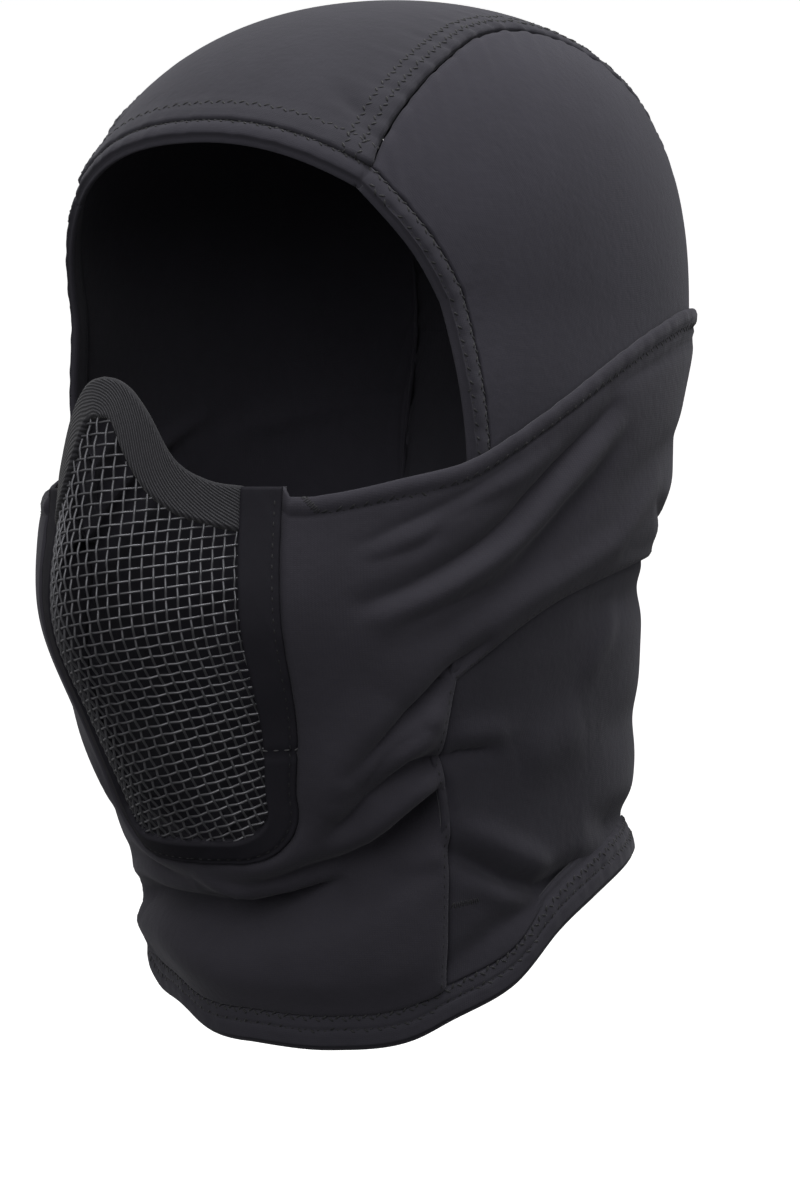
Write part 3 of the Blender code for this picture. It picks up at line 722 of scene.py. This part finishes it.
NOSE_ARCH = table(
    "across upper lower",
    (0.00, 0.000, 0.090), (0.12, 0.006, 0.099), (0.25, 0.028, 0.167), (0.40, 0.079, 0.236),
    (0.60, 0.178, 0.290), (0.80, 0.221, 0.317), (1.00, 0.234, 0.336))


def front_of(x, drop):
    """Where the form's face lies at a distance from the middle and a depth."""
    centre, wide, front, back, square, cap = section(drop)
    return centre - front * np.maximum(1 - np.abs(x / wide) ** square, 0) ** (1 / square)


def mask_half(drop):
    """Half width of the mesh at a depth."""
    down = (drop - MASK_TOP) / MASK_HEIGHT
    return smooth(MASK_ROWS, "half", down) * MASK_HALF_WIDTH


def mask_surface(x, drop):
    """Dome of the mask, which runs out onto the face panel at its edge."""
    down = (drop - MASK_TOP) / MASK_HEIGHT
    bulge = smooth(MASK_ROWS, "bulge", down) * MASK_BULGE
    power = smooth(MASK_ROWS, "round", down)
    across = np.minimum(np.abs(x) / mask_half(drop), 1)
    y = front_of(x, drop) - CLOTH - LAYER_GAP - bulge * (1 - across ** power)
    return join(x, y, -drop)


def arch(edge, across):
    """Depth of the upper or lower edge of the nose webbing."""
    return MASK_TOP + smooth(NOSE_ARCH, edge, np.abs(across)) * MASK_HEIGHT


def mask_outline(along, grow):
    """Mesh's outline grown sideways, from 0 at the chin to MASK_END at its top."""
    low = MASK_TOP + MASK_HEIGHT
    corner = low - MASK_CORNER
    middle = mask_half(corner) - MASK_CORNER
    turn = ramp(along - CHIN_END, CORNER_END - CHIN_END) * np.pi / 2
    side = ramp(along - CORNER_END, MASK_END - CORNER_END)
    drop = corner + (MASK_CORNER + grow) * np.cos(turn)
    drop = np.where(side > 0, corner + (arch("upper", 1.0) - corner) * side, drop)
    x = middle * ramp(along, CHIN_END) + (MASK_CORNER + grow) * np.sin(turn)
    return np.where(side > 0, mask_half(drop) + grow, x), drop


def tape_width(along):
    """Width of the binding, which is folded narrower round the chin."""
    return smooth(BINDING, "width", along)


def face_grids():
    """Spots of the left half's bib, of its edge behind the binding, and of its wing."""
    rise, ringed, back = (spaced(length, CLOTH_STEP) for length in FACE_LENGTHS)
    ringed, back = ringed[:, None], back[:, None]
    along = np.concatenate((
        np.linspace(0, BIB_HEM_END, 54)[:-1], np.linspace(BIB_HEM_END, BIB_SEAM_END, 66)[:-1],
        BIB_SEAM_END + (MASK_END - BIB_SEAM_END) * rise))
    chin = (SEAM_HEM_ANGLE + np.degrees(SEAM_LAP / HALF_WIDTH)) * ramp(along, BIB_HEM_END)
    hem = ring(chin, panel_end(chin))
    up_seam = ramp(along - BIB_HEM_END, BIB_SEAM_END - BIB_HEM_END)
    seam = front_edge(1 + (SEAM_TOP - 1) * up_seam, SEAM_LAP)
    low_angle, low_level = place(seam[-1])
    root_angle = low_angle + (WING_ROOT_ANGLE - low_angle) * rise
    top_level = smooth(WING_TOP, "level", WING_ROOT_ANGLE)
    root = ring(root_angle, low_level + (top_level - low_level) * rise)
    outer = np.where((along <= BIB_HEM_END)[:, None], hem, seam)
    outer[-len(rise):] = root

    width = tape_width(along)
    x, drop = mask_outline(along, width + 0.0002)
    inner = join(x, front_of(x, drop), -drop)
    angle, level = place(seat(inner + (outer - inner) * ringed[..., None]))
    near_top = (along / MASK_END) ** 6 * np.sign(ringed)
    wing_top = smooth(WING_TOP, "level", angle[:, -1:])
    level += near_top * (wing_top - level[:, -1:])
    bib = ring(angle, level)
    bib[0], bib[-1] = inner, outer
    behind = [mask_surface(*mask_outline(along, width * share)) + (0, inward, 0)
              for share, inward in ((0.52, 0.0020), (0.58, 0.0020), (0.78, 0.0019), (0.98, 0.0017))]
    edge = mask_surface(*mask_outline(along, width + 0.0002))

    wing_angle = root_angle + (180 - root_angle) * back
    top = smooth(WING_TOP, "level", wing_angle[:, -1:])
    wing_low = {"angle": np.concatenate(([low_angle], WING_LOW["angle"])),
                "level": np.concatenate(([low_level], WING_LOW["level"]))}
    low = smooth(wing_low, "level", wing_angle[:, :1])
    return bib, np.array(behind), edge, ring(wing_angle, low + (top - low) * rise), back, rise


def flat_place(points):
    """Place of a spot on the cloth laid flat: round the head and down it."""
    angle, level = place(points)
    return join(np.radians(angle) * HALF_WIDTH, drop_at(level))


def face_height(points, side, from_top, from_seam, eased, held):
    """How far the face panel's inside lies off the form."""
    angle, level = place(points)
    end = lower_edge(angle, NECK_HEM_HEIGHT)
    above = drop_at(end) - drop_at(level)
    drawn = ledge(bell(above, 0.006), np.abs(angle), 37.5, 0.8)
    height = (CLOTH + LAYER_GAP) * (1 - 0.85 * drawn) + WING_EASE * eased
    snug = bell(from_top, 0.012) * ramp(np.abs(angle) - 60, 30)
    sewn = bell(from_seam, 0.0033) * ramp(np.abs(angle) - 38, 4)
    loose = held * (1 - 0.85 * sewn) * ramp(above, 0.010)
    height += loose * folded(points, FACE_FOLDS) + sewn * folded(points, SIDE_FOLDS, side)
    height -= 0.0007 * np.maximum(snug, sewn * 1.2) + 0.0005 * bell(from_seam, 0.0009)
    rolled = 0.0008 * bell(from_top - 0.0024, 0.0020)
    rows = 0.0006 * bell(from_top - WING_ROW, 0.0009)
    gathers = puckers(from_top, angle * HALF_WIDTH / 57.3, 0.007, 0.00014)
    return height + rolled - rows + gathers


face_cloth = jersey("face_jersey", (0.044, 0.0415, 0.0530))
bib, behind, edge, wing, back_share, rise = face_grids()
bib_front, bib_back, bib_top, bib_bottom = runs(bib)
wing_front, wing_back = runs(wing)[:2]
seam_end = bib.shape[1] - len(rise)
past_seam = np.maximum(bib_front - bib_front[:, seam_end:seam_end + 1], 0)
bib_free = np.minimum(np.hypot(bib_bottom * 2, past_seam), bib_back)
bib_free = np.minimum(bib_free, bib_top * 2 + 0.0004)
wing_free = np.minimum(wing_front, wing_back)
free_of_mask = ramp(bib_top, 0.006)
eased = np.sin(back_share * np.pi / 2) * 2.0 * rise * (1 - rise)
tucked = np.array((0, 0.0009, 0.0009, 0.0009))[:, None]
patches = []
for way in SIDES:
    high = face_height(bib * way, way[0], bib_back,
                       np.hypot(bib_bottom, past_seam), 0.0, free_of_mask)
    points = lift(bib * way, high)
    points[0] = edge * way
    full = np.concatenate((behind * way, points))
    wall = np.concatenate((np.minimum(tucked, walled(bib_back[:1], CLOTH)),
                           walled(bib_free, CLOTH)))
    patches.append((full, wall, flat_place(full)))
    high = face_height(wing * way, way[0], wing_back, wing_front, eased, 1.0)
    patches.append((lift(wing * way, high), walled(wing_free, CLOTH), flat_place(wing * way)))
face_panel = sew("face_panel_cloth", patches, face_cloth)
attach(face_panel, "root")
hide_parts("face_panel")

# Wire mesh. Square-woven steel wire, pressed into a dome with a ridge down the
# nose. Its cut edges are held inside the binding and the nose webbing.
WIRE_PITCH = 0.00300
WIRE = 0.00066
WIRE_CRIMP = 0.00050
WEAVE_LEAN = -0.080
WEAVE_SKEW = -17.0
MASK_LAP = 0.0010
FLAT_SCALE = 5.0


def weave_place(x, drop):
    """Place on the mesh laid flat: round from its ridge and down along it."""
    part = np.linspace(0, 1, 41)
    spots = mask_surface(x[..., None] * part, drop[..., None])
    over = np.linalg.norm(np.diff(spots, axis=-2), axis=-1).sum(-1) * np.sign(x)
    depth = np.linspace(MASK_TOP, MASK_TOP + 1.1 * MASK_HEIGHT, 300)
    return over, np.interp(drop, depth, walked(mask_surface(np.zeros(300), depth)))


class Maker(Mark):
    """A mark of a Geometry Nodes tree."""

    def make(self, kind, links=(), out=0, **settings):
        return Maker(self.add("GeometryNode" + kind, links, out, **settings).socket)

    def vector(self, **parts):
        """Vector with given X, Y and Z."""
        return Maker(self.add("ShaderNodeCombineXYZ", parts).socket)

    def scaled(self, by):
        """This vector times a number."""
        return Maker(self.add("ShaderNodeVectorMath", {0: self, "Scale": by},
                              operation="SCALE").socket)

    def plus(self, other, operation="ADD"):
        """Sum, or another product, of this vector and another."""
        return Maker(self.add("ShaderNodeVectorMath", {0: self, 1: other},
                              operation=operation).socket)

    def read(self, name, kind):
        """Named attribute of the geometry."""
        return self.make("InputNamedAttribute", {"Name": name}, data_type=kind)


def tree_of(name, numbers):
    """New Geometry Nodes tree, with a mark for its geometry and for each named number."""
    tree = bpy.data.node_groups.new(name, "GeometryNodeTree")
    add = tree.interface.new_socket
    add("Geometry", in_out="INPUT", socket_type="NodeSocketGeometry")
    for number in numbers:
        add(number, in_out="INPUT", socket_type="NodeSocketFloat")
    add("Geometry", in_out="OUTPUT", socket_type="NodeSocketGeometry")
    source = tree.nodes.new("NodeGroupInput")
    return tree, [Maker(socket) for socket in source.outputs if socket.name]


def finish_tree(tree, made, finish):
    """End of a tree: instances made real, smooth, and given their finish."""
    for kind, links in (("RealizeInstances", {}), ("SetShadeSmooth", {}),
                        ("SetMaterial", {"Material": finish})):
        made = made.make(kind, {"Geometry": made, **links})
    tree.links.new(made.socket, tree.nodes.new("NodeGroupOutput").inputs["Geometry"])


def make_from(tree, guide, name, numbers):
    """Plain mesh piece that a tree makes from a guide, which is then removed."""
    holder = stand(name + "_guide", guide)
    modifier = holder.modifiers.new("made", "NODES")
    modifier.node_group = tree
    for item in tree.interface.items_tree:
        if item.name in numbers:
            modifier[item.identifier] = numbers[item.name]
    evaluated = holder.evaluated_get(bpy.context.evaluated_depsgraph_get())
    mesh = bpy.data.meshes.new_from_object(evaluated)
    bpy.data.objects.remove(holder)
    return stand(name, mesh)


def wire_tree(finish, numbers):
    """Tree that weaves two sets of wires on a ground mesh laid flat by its UV map."""
    tree, (ground, pitch, wire, crimp, lean, skew, half, length, scale) = tree_of(
        "woven_wire", numbers)
    here = ground.make("InputPosition")
    x, y = here.part(0), here.part(1)
    leant = ground.vector(X=x, Y=y + x * (lean + y * y * skew))
    laid = leant.scaled(scale).plus((0.5, 0.1, 0.0))
    spot, facing = (
        ground.make("SampleUVSurface", {
            "Mesh": ground, "Value": value, "UV Map": ground.read("cloth", "FLOAT_VECTOR"),
            "Sample UV": laid}, data_type="FLOAT_VECTOR")
        for value in (here, ground.make("InputNormal")))
    valid = Mark(spot.socket.node.outputs["Is Valid"])
    missing = ground.add("FunctionNodeBooleanMath", {0: valid}, operation="NOT")
    wave = ((x + y) / pitch * np.pi).maths("COSINE") * crimp
    profile = ground.make("CurvePrimitiveCircle", {"Resolution": 6, "Radius": wire * 0.5})
    zero = ground.vector()
    middle = pitch * (half / pitch).maths("ROUND") * -1
    wires = []
    for first, last, begin, step, count, side in (
            (ground.vector(X=half * -1), ground.vector(X=half), zero,
             ground.vector(Y=pitch), length / pitch, -0.5),
            (zero, ground.vector(Y=length), ground.vector(X=middle),
             ground.vector(X=pitch), half * 2 / pitch, 0.5)):
        line = ground.make("CurvePrimitiveLine", {"Start": first, "End": last})
        line = ground.make("ResampleCurve", {"Curve": line, "Length": pitch * 0.2}, mode="LENGTH")
        starts = ground.make("MeshLine", {
            "Count": count + 1, "Start Location": begin, "Offset": step})
        rows = ground.make("InstanceOnPoints", {"Points": starts, "Instance": line})
        rows = ground.make("RealizeInstances", {"Geometry": rows})
        rows = ground.make("StoreNamedAttribute", {
            "Geometry": rows, "Name": "outside", "Value": missing},
            data_type="BOOLEAN", domain="POINT")
        woven = spot.plus(facing.scaled(wave * side))
        rows = ground.make("SetPosition", {"Geometry": rows, "Position": woven})
        rows = ground.make("DeleteGeometry", {
            "Geometry": rows, "Selection": ground.read("outside", "BOOLEAN")}, domain="POINT")
        wires.append(ground.make("CurveToMesh", {
            "Curve": rows, "Profile Curve": profile, "Fill Caps": True}))
    both = ground.make("JoinGeometry", {"Geometry": wires[0]})
    tree.links.new(wires[1].socket, both.socket.node.inputs["Geometry"])
    finish_tree(tree, both, finish)
    return tree


wire_steel, shader, mark = start_finish(
    "mask_wire", Metallic=0.75, Roughness=0.36, Base_Color=(0.185, 0.185, 0.20, 1))
share = np.linspace(-1, 1, 61)
head_edge = arch("lower", share)
low = MASK_TOP + MASK_HEIGHT
corner_x = mask_half(low - MASK_CORNER) - MASK_CORNER
beyond = np.maximum(np.abs(share) * (corner_x + MASK_CORNER) - corner_x, 0)
foot = low - MASK_CORNER + np.sqrt(np.maximum(MASK_CORNER ** 2 - beyond ** 2, 0))
net = head_edge - MASK_LAP + (foot - head_edge + 2 * MASK_LAP) * np.linspace(0, 1, 81)[:, None]
net_x = share * (mask_half(net) + MASK_LAP)
over, down = weave_place(net_x, net)
ground = hang(mask_surface(net_x, net) - (0, 0.0007, 0))
mesh = bpy.data.meshes.new("mask_ground")
at = np.arange(net.size).reshape(net.shape)
cells = np.stack((at[:-1, :-1], at[1:, :-1], at[1:, 1:], at[:-1, 1:]), -1).reshape(-1, 4)
mesh.from_pydata(ground.reshape(-1, 3).tolist(), [], cells.tolist())
flat = join(over * FLAT_SCALE + 0.5, down * FLAT_SCALE + 0.1).reshape(-1, 2)
mesh.uv_layers.new(name="cloth").data.foreach_set("uv", flat[cells.ravel()].ravel())
weave = {"Pitch": WIRE_PITCH, "Wire": WIRE, "Crimp": WIRE_CRIMP, "Lean": WEAVE_LEAN,
         "Skew": WEAVE_SKEW, "Half Width": 0.066, "Length": 0.140, "Flat Scale": FLAT_SCALE}
face_mesh = make_from(wire_tree(wire_steel, weave), mesh, "face_mesh_wires", weave)
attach(face_mesh, "root")
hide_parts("face_mesh")

# Nose webbing. Ribbed elastic that is cut to an arch over the nose. The ribs
# follow its upper edge, and its ends are held under the binding.
RIB_PITCH = 0.00072
RIB_SLANT = 0.38

webbing_elastic, shader, mark = start_finish(
    "nose_elastic", Sheen_Weight=0.15, Specular_IOR_Level=0.3)
body, along, down = places(mark)
rib = (down - along * RIB_SLANT).wave(RIB_PITCH, "COSINE")
selvedge = down.maths("LESS_THAN", 0.0009)
rib_relief_and_painted_shade = rib * (1 - selvedge) + selvedge * 0.35
strand = along.wave(0.00055)
# Painted highlight and painted shade: the ribs' crests are painted paler and their grooves darker,
# following the rib bump.
tone = rib_relief_and_painted_shade * 0.8 + body.noise(1400.0) * 0.3 + strand * 0.12 - 0.15
show(shader, Base_Color=tone.mixed((0.014, 0.014, 0.017), (0.070, 0.069, 0.078)),
     Roughness=0.85 - rib_relief_and_painted_shade * 0.15, Normal=(rib_relief_and_painted_shade + strand * 0.2).bump(0.8, 0.00025))

share = np.linspace(-1, 1, 141)
t = spaced(0.015, 0.00018)[:, None]
band = arch("upper", share) + (arch("lower", share) - arch("upper", share)) * t
webbing = mask_surface(share * (mask_half(band) + MASK_LAP), band)
edge_line = evenly(webbing[0], 0.0004)
from_arch = np.array([np.linalg.norm(edge_line - spot, axis=1).min()
                      for spot in webbing.reshape(-1, 3)]).reshape(webbing.shape[:2])
front, back, top, bottom = runs(webbing)
edges = np.min((front, back, top, bottom), axis=0)
selvedge_step = ledge(0.00018, from_arch, 0.0009, 0.0001)
wall = np.maximum(walled(edges, 0.0009) * 2 - selvedge_step * (edges > 0.0006), 0)
webbing_patch = webbing, wall, join(front, from_arch)
nose_webbing = sew("nose_webbing_elastic", [webbing_patch], webbing_elastic)
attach(nose_webbing, "root")
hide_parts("nose_webbing")

# Binding. Smooth folded tape that grips the mesh's edge, sewn down near its
# outer edge, with a joint low on the left side and square-cut upper ends.
BINDING_THICK = 0.0024
BINDING_JOINT = 10.7
BINDING_ROW = 0.0016


def binding_grid():
    """Spots of the binding from the right end round the chin to the left one."""
    half = np.concatenate((
        np.linspace(0, CHIN_END, 16)[:-1], np.linspace(CHIN_END, CORNER_END, 22)[:-1],
        CORNER_END + (MASK_END - CORNER_END) * spaced(0.080, 0.0014)))
    grow = spaced(0.0090, 0.0006)[:, None] * tape_width(half)
    left = mask_surface(*mask_outline(half, grow))
    return np.concatenate((left[:, :0:-1] * (-1, 1, 1), left), axis=1), half


binding_tape, shader, mark = start_finish(
    "binding_tape", Sheen_Weight=0.0, Specular_IOR_Level=0.12)
body, along, down = places(mark)
twill = (along + down * 0.8).wave(0.0006)
tone = body.noise(90.0) * 0.6 + body.noise(1900.0) * 0.35 + twill * 0.15
show(shader, Base_Color=tone.mixed((0.015, 0.0145, 0.019), (0.029, 0.0275, 0.035)),
     Roughness=body.noise(300.0) * 0.2 + 0.62, Normal=twill.bump(0.25, 0.0001))

binding, binding_half = binding_grid()
front, back, top, bottom = runs(binding)
edges = np.min((front, back, top, bottom), axis=0)
from_joint = np.abs(np.concatenate((-binding_half[:0:-1], binding_half)) - BINDING_JOINT) * 0.0073
share = top / (top + bottom)
wall = walled(edges, 0.0008) / 0.0008 * BINDING_THICK * (1 - 0.42 * share)
wall = wall - 0.0004 * bell(bottom - BINDING_ROW, 0.0006)
wall = wall - 0.0007 * bell(from_joint, 0.0004)
wall = wall + puckers(bottom, front, 0.004, 0.00008)
wall = np.where(edges > 0, np.maximum(wall, 0.0001), 0)
mesh_binding = sew("mesh_binding_tape", [(binding, wall, join(front, top))], binding_tape)
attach(mesh_binding, "root")
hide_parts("mesh_binding")

# Neck hem. The lower edge of all the panels is turned up and coverstitched
# from outside with two rows. The raw edge of the turning lies inside.
NECK_HEM_THICK = 0.0019
NECK_ROWS = (0.0056, 0.0087)

turn = np.linspace(0, 360, 361)
up = np.array((12.2, 11.8, 10.8, 9.6, 9.2, 9.1, 8.95, 8.8, 8.6, 8.2, 7.6, 7.0, 6.4, 6.0, 5.6,
               5.2, 4.6, 3.6, 2.6, 1.7, 1.0, 0.5, 0.2, 0.0))[:, None] * 0.001
fold = ramp(1 - up / 0.0012)
flap = up > NECK_HEM_HEIGHT + 0.0001
base = np.where(flap, -0.0011, 0.0) + 0.0010 * (1 - np.sqrt(1 - fold ** 2))
top = np.interp(up, (0.0, 0.0050, 0.0088, 0.0092), (NECK_HEM_THICK, NECK_HEM_THICK, 0.0013, 0.0004))
top = np.where(flap, -0.0002, top) - 0.0012 * (1 - np.sqrt(1 - fold ** 2))
top = top - 0.0004 * bell(up - NECK_ROWS[0], 0.0005)
around = np.radians(turn) * HALF_WIDTH
waves = puckers(0.0, around, 1.0, 0.00010) * ramp(up, 0.004) * ~flap
wall = np.maximum(top - base + waves, 0.0)
wall[0], wall[-1] = 0, 0
neck_patch = lift(ring(turn, lower_edge(turn, up)), base), wall, join(around, up)
neck_hem = sew("neck_hem_cloth", [neck_patch], hem_cloth)
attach(neck_hem, "root")
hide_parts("neck_hem")

# Stitches. Black polyester thread, painted darker than the cloth so that it also stands for
# the shade in the stitch holes: coverstitch beside the seams and in the hems, a zigzag in the
# wings' upper edge, and lockstitch in the binding, whose joint is closed with grey thread.
SHORT = {"Pitch": 0.0027, "Length": 0.0016, "Thread": 0.00055, "Lean": 0.0, "Swing": 0.0}
COVER = {"Pitch": 0.0018, "Length": 0.0019, "Thread": 0.00072, "Lean": 0.7, "Swing": 0.0003}
ZIGZAG = {"Pitch": 0.0018, "Length": 0.0024, "Thread": 0.00078, "Lean": 0.8, "Swing": 0.0005}
TACK = {"Pitch": 0.0006, "Length": 0.0020, "Thread": 0.00050, "Lean": 1.5, "Swing": 0.0001}


def stitch_tree(name, finish):
    """Tree that lays stitches along guide lines, which carry the cloth's facing."""
    tree, (line, pitch, length, thread, lean, swing) = tree_of(name, SHORT)
    facing, along = line.read("facing", "FLOAT_VECTOR"), line.make("InputTangent")
    path = line.make("MeshToCurve", {"Mesh": line})
    path = line.make("ResampleCurve", {"Curve": path, "Length": pitch}, mode="LENGTH")
    side = (line.make("InputIndex") * np.pi).maths("COSINE")
    across = facing.plus(along, "CROSS_PRODUCT").scaled(side * swing)
    path = line.make("SetPosition", {"Geometry": path, "Offset": across})
    stands = line.add("FunctionNodeAxesToRotation", {
        "Primary Axis": facing, "Secondary Axis": along}, primary_axis="Z", secondary_axis="X")
    leans = line.add("FunctionNodeAxisAngleToRotation", {
        "Axis": (0.0, 0.0, 1.0), "Angle": side * lean})
    turned = line.add("FunctionNodeRotateRotation", {
        "Rotation": stands, "Rotate By": leans}, rotation_space="LOCAL")
    bead = line.make("MeshUVSphere", {"Segments": 6, "Rings": 5, "Radius": 0.5})
    size = line.vector(X=length, Y=thread, Z=thread * 0.8)
    stitch = line.make("Transform", {"Geometry": bead, "Scale": size})
    laid = line.make("InstanceOnPoints", {
        "Points": path, "Instance": stitch, "Rotation": turned})
    finish_tree(tree, laid, finish)
    return tree


def on_cloth(piece, line, sink):
    """A line of the form brought onto a piece's outside, with the cloth's facing."""
    wrapped = BVHTree.FromObject(piece, bpy.context.evaluated_depsgraph_get())
    spots, facings = [], []
    for spot, out in zip(hang(line), outward(line)):
        hit, normal, _, _ = wrapped.ray_cast(Vector(spot + out * 0.03), Vector(-out), 0.06)
        if hit is not None:
            spots.append(hit - normal * sink)
            facings.append(normal)
    return spots, facings


def on_both(piece, sink, *lines):
    """Lines of the left half, and their mirrored ones, brought onto a piece."""
    return [on_cloth(piece, line * side, sink) for side in SIDES for line in lines]


def stitched(name, tree, lines, sizes):
    """Stitches of one kind laid along lines that already lie on the cloth."""
    verts, edges, facings = [], [], []
    for spots, facing in lines:
        edges += [(len(verts) + k, len(verts) + k + 1) for k in range(len(spots) - 1)]
        verts += [tuple(spot) for spot in spots]
        facings += [component for normal in facing for component in normal]
    mesh = bpy.data.meshes.new(name)
    mesh.from_pydata(verts, edges, [])
    mesh.attributes.new("facing", "FLOAT_VECTOR", "POINT").data.foreach_set("vector", facings)
    piece = make_from(tree, mesh, name, sizes)
    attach(piece, "root")


def thread_row(name, colour):
    """Stitch tree in a thread of one colour."""
    thread, shader, mark = start_finish(name, Roughness=0.6, Sheen_Weight=0.15)
    twist = mark.add("ShaderNodeTexCoord", out="Object").noise(1800.0)
    show(shader, Base_Color=twist.mixed([channel * 0.6 for channel in colour], colour))
    return stitch_tree(name + "_row", thread)


# Partly painted shade: the black thread is darker than the cloth, standing also for the shade in
# its stitch holes.
dark_thread = thread_row("black_thread", (0.012, 0.012, 0.015))
pale_thread = thread_row("grey_thread", (0.130, 0.128, 0.135))

over = np.linspace(0.003, 0.997, 300)
down = np.linspace(0.003, 0.99, 160)
crown_rows = []
for inside in CROWN_ROWS:
    seam_row = over_head(1.0, over, -inside)
    nape = nape_angle(down) + np.degrees(inside / HALF_WIDTH)
    nape_row = ring(nape, 1 + (panel_end(nape) - 1) * down)
    crown_rows += on_both(crown_panel, 0.00002, np.concatenate((seam_row, nape_row)))
brow_line = over_head(np.linspace(-0.985, 0.985, 200), 0.0, 0.0)
brow_back = brow_line - inside_of(brow_line) * BROW_ROW
crown_rows.append(on_cloth(crown_panel, seat(brow_back), 0.00002))
stitched("crown_coverstitch", dark_thread, crown_rows, COVER)

hem_rows = [on_cloth(opening_hem, seat(opening + into * 0.0007), 0.00002)]
low = front_edge(np.linspace(0.02, OPENING_END - 0.02, 160), 0)
hem_rows += on_both(opening_hem, 0.00010, seat(low + inside_of(low) * OPENING_ROW))
stitched("opening_coverstitch", dark_thread, hem_rows, COVER)

around = np.linspace(0, 360, 700)
neck_rows = [on_cloth(neck_hem, ring(around, lower_edge(around, up)), 0.00008)
             for up in NECK_ROWS]
stitched("neck_coverstitch", dark_thread, neck_rows, COVER)

angle = np.linspace(29, 179, 260)
wing_row = ring(angle, level_at(drop_at(smooth(WING_TOP, "level", angle)) + WING_ROW))
wing_rows = on_both(face_panel, 0.00012, wing_row)
stitched("wing_zigzag", dark_thread, wing_rows, ZIGZAG)

share = np.linspace(0.03, 0.97, 200)
seam = front_edge(1 + (SEAM_TOP - 1) * share, SEAM_LAP - 0.0014)
low_edge = np.concatenate((wing[:, 3][::4], wing[-1:, 3]))
dashes = on_both(face_panel, 0.00010, seam, low_edge)
stitched("face_panel_stitches", dark_thread, dashes, SHORT)

share = np.linspace(0, 1, 30)
bar = ring(45.5 + 6.0 * share, 1.745 - 0.005 * share)
end_bar = ring(23.5 + 4.5 * share, 1.226 + 0.040 * share)
tacks = []
for side in SIDES:
    tacks += [on_cloth(side_panels[side[0]], bar * side, 0.00005),
              on_cloth(face_panel, end_bar * side, 0.00005)]
stitched("bar_tacks", dark_thread, tacks, TACK)

along = np.linspace(0.2, 19.4, 400)
row = mask_surface(*mask_outline(along, tape_width(along) - BINDING_ROW))
tape_rows = on_both(mesh_binding, 0.00010, row)
stitched("binding_lockstitch", dark_thread, tape_rows, SHORT)
across = np.linspace(0.0006, 0.0085, 30)
joint_row = mask_surface(*mask_outline(np.full(30, BINDING_JOINT + 0.12), across))
stitched("joint_stitches", pale_thread, [on_cloth(mesh_binding, joint_row, 0.00005)], SHORT)

# Floor and backdrop, soft light from above, and the camera
stage_mesh = bpy.data.meshes.new("floor")
reach, fold_up, low = 6.0, 2.0, -0.46
profile = [(reach * k / 12, low) for k in range(13)]
profile += [(reach + fold_up * np.sin(a), low + fold_up * (1 - np.cos(a)))
            for a in np.linspace(0, np.pi / 2, 12)[1:]]
profile += [(reach + fold_up, low + fold_up + 3.0)]
turns = np.linspace(0, 2 * np.pi, 65)
verts = [(r * np.cos(a), r * np.sin(a), z) for r, z in profile for a in turns]
faces = [(i * 65 + j, i * 65 + j + 1, (i + 1) * 65 + j + 1, (i + 1) * 65 + j)
         for i in range(len(profile) - 1) for j in range(64)]
stage_mesh.from_pydata(verts, [], faces)
stage_mesh.shade_smooth()
floor = stand("floor", stage_mesh)
pale, shader, mark = start_finish(
    "studio_paper", Roughness=0.9, Base_Color=(0.88, 0.88, 0.88, 1),
    Emission_Color=(1.0, 1.0, 1.0, 1), Emission_Strength=0.72)
stage_mesh.materials.append(pale)
floor.visible_diffuse = floor.visible_glossy = False

world = bpy.data.worlds.new("studio")
world.use_nodes = True
sky = world.node_tree.nodes["Background"]
sky.inputs["Color"].default_value = (1.0, 1.0, 1.0, 1)
toward = Mark(sky.outputs[0]).add("ShaderNodeTexCoord", out="Generated")
height = (toward.part(2) * 0.32 + 0.27).maths("MAXIMUM", 0.03)
world.node_tree.links.new(height.socket, sky.inputs["Strength"])
bpy.context.scene.world = world


def lamp(name, spot, aim, size, power):
    """Large soft light facing a point."""
    light = bpy.data.lights.new(name, "AREA")
    light.shape, light.size, light.energy = "DISK", size, power
    holder = stand(name, light)
    holder.location = spot
    holder.rotation_euler = (Vector(aim) - Vector(spot)).to_track_quat("-Z", "Y").to_euler()


lamp("overhead", (0.55, 0.10, 2.1), (0, 0, -0.15), 1.4, 30.0)
lamp("front", (0.7, -1.8, 0.5), (0, 0, -0.17), 1.2, 7.5)
bpy.context.scene.view_settings.view_transform = "Standard"

turn, rise = np.radians(36.07), np.radians(1.0)
back = Vector((np.sin(turn) * np.cos(rise), -np.cos(turn) * np.cos(rise), np.sin(rise)))
camera = stand("camera", bpy.data.cameras.new("camera"))
camera.location = Vector((0, -0.020, -0.171)) + back * 1.1
camera.rotation_euler = (-back).to_track_quat("-Z", "Y").to_euler()
camera.data.lens, camera.data.sensor_width = 120.0, 36.0
camera.data.shift_x, camera.data.shift_y = 0.0247, 0.0219
camera.data.clip_start, camera.data.clip_end = 0.05, 50.0
bpy.context.scene.camera = camera
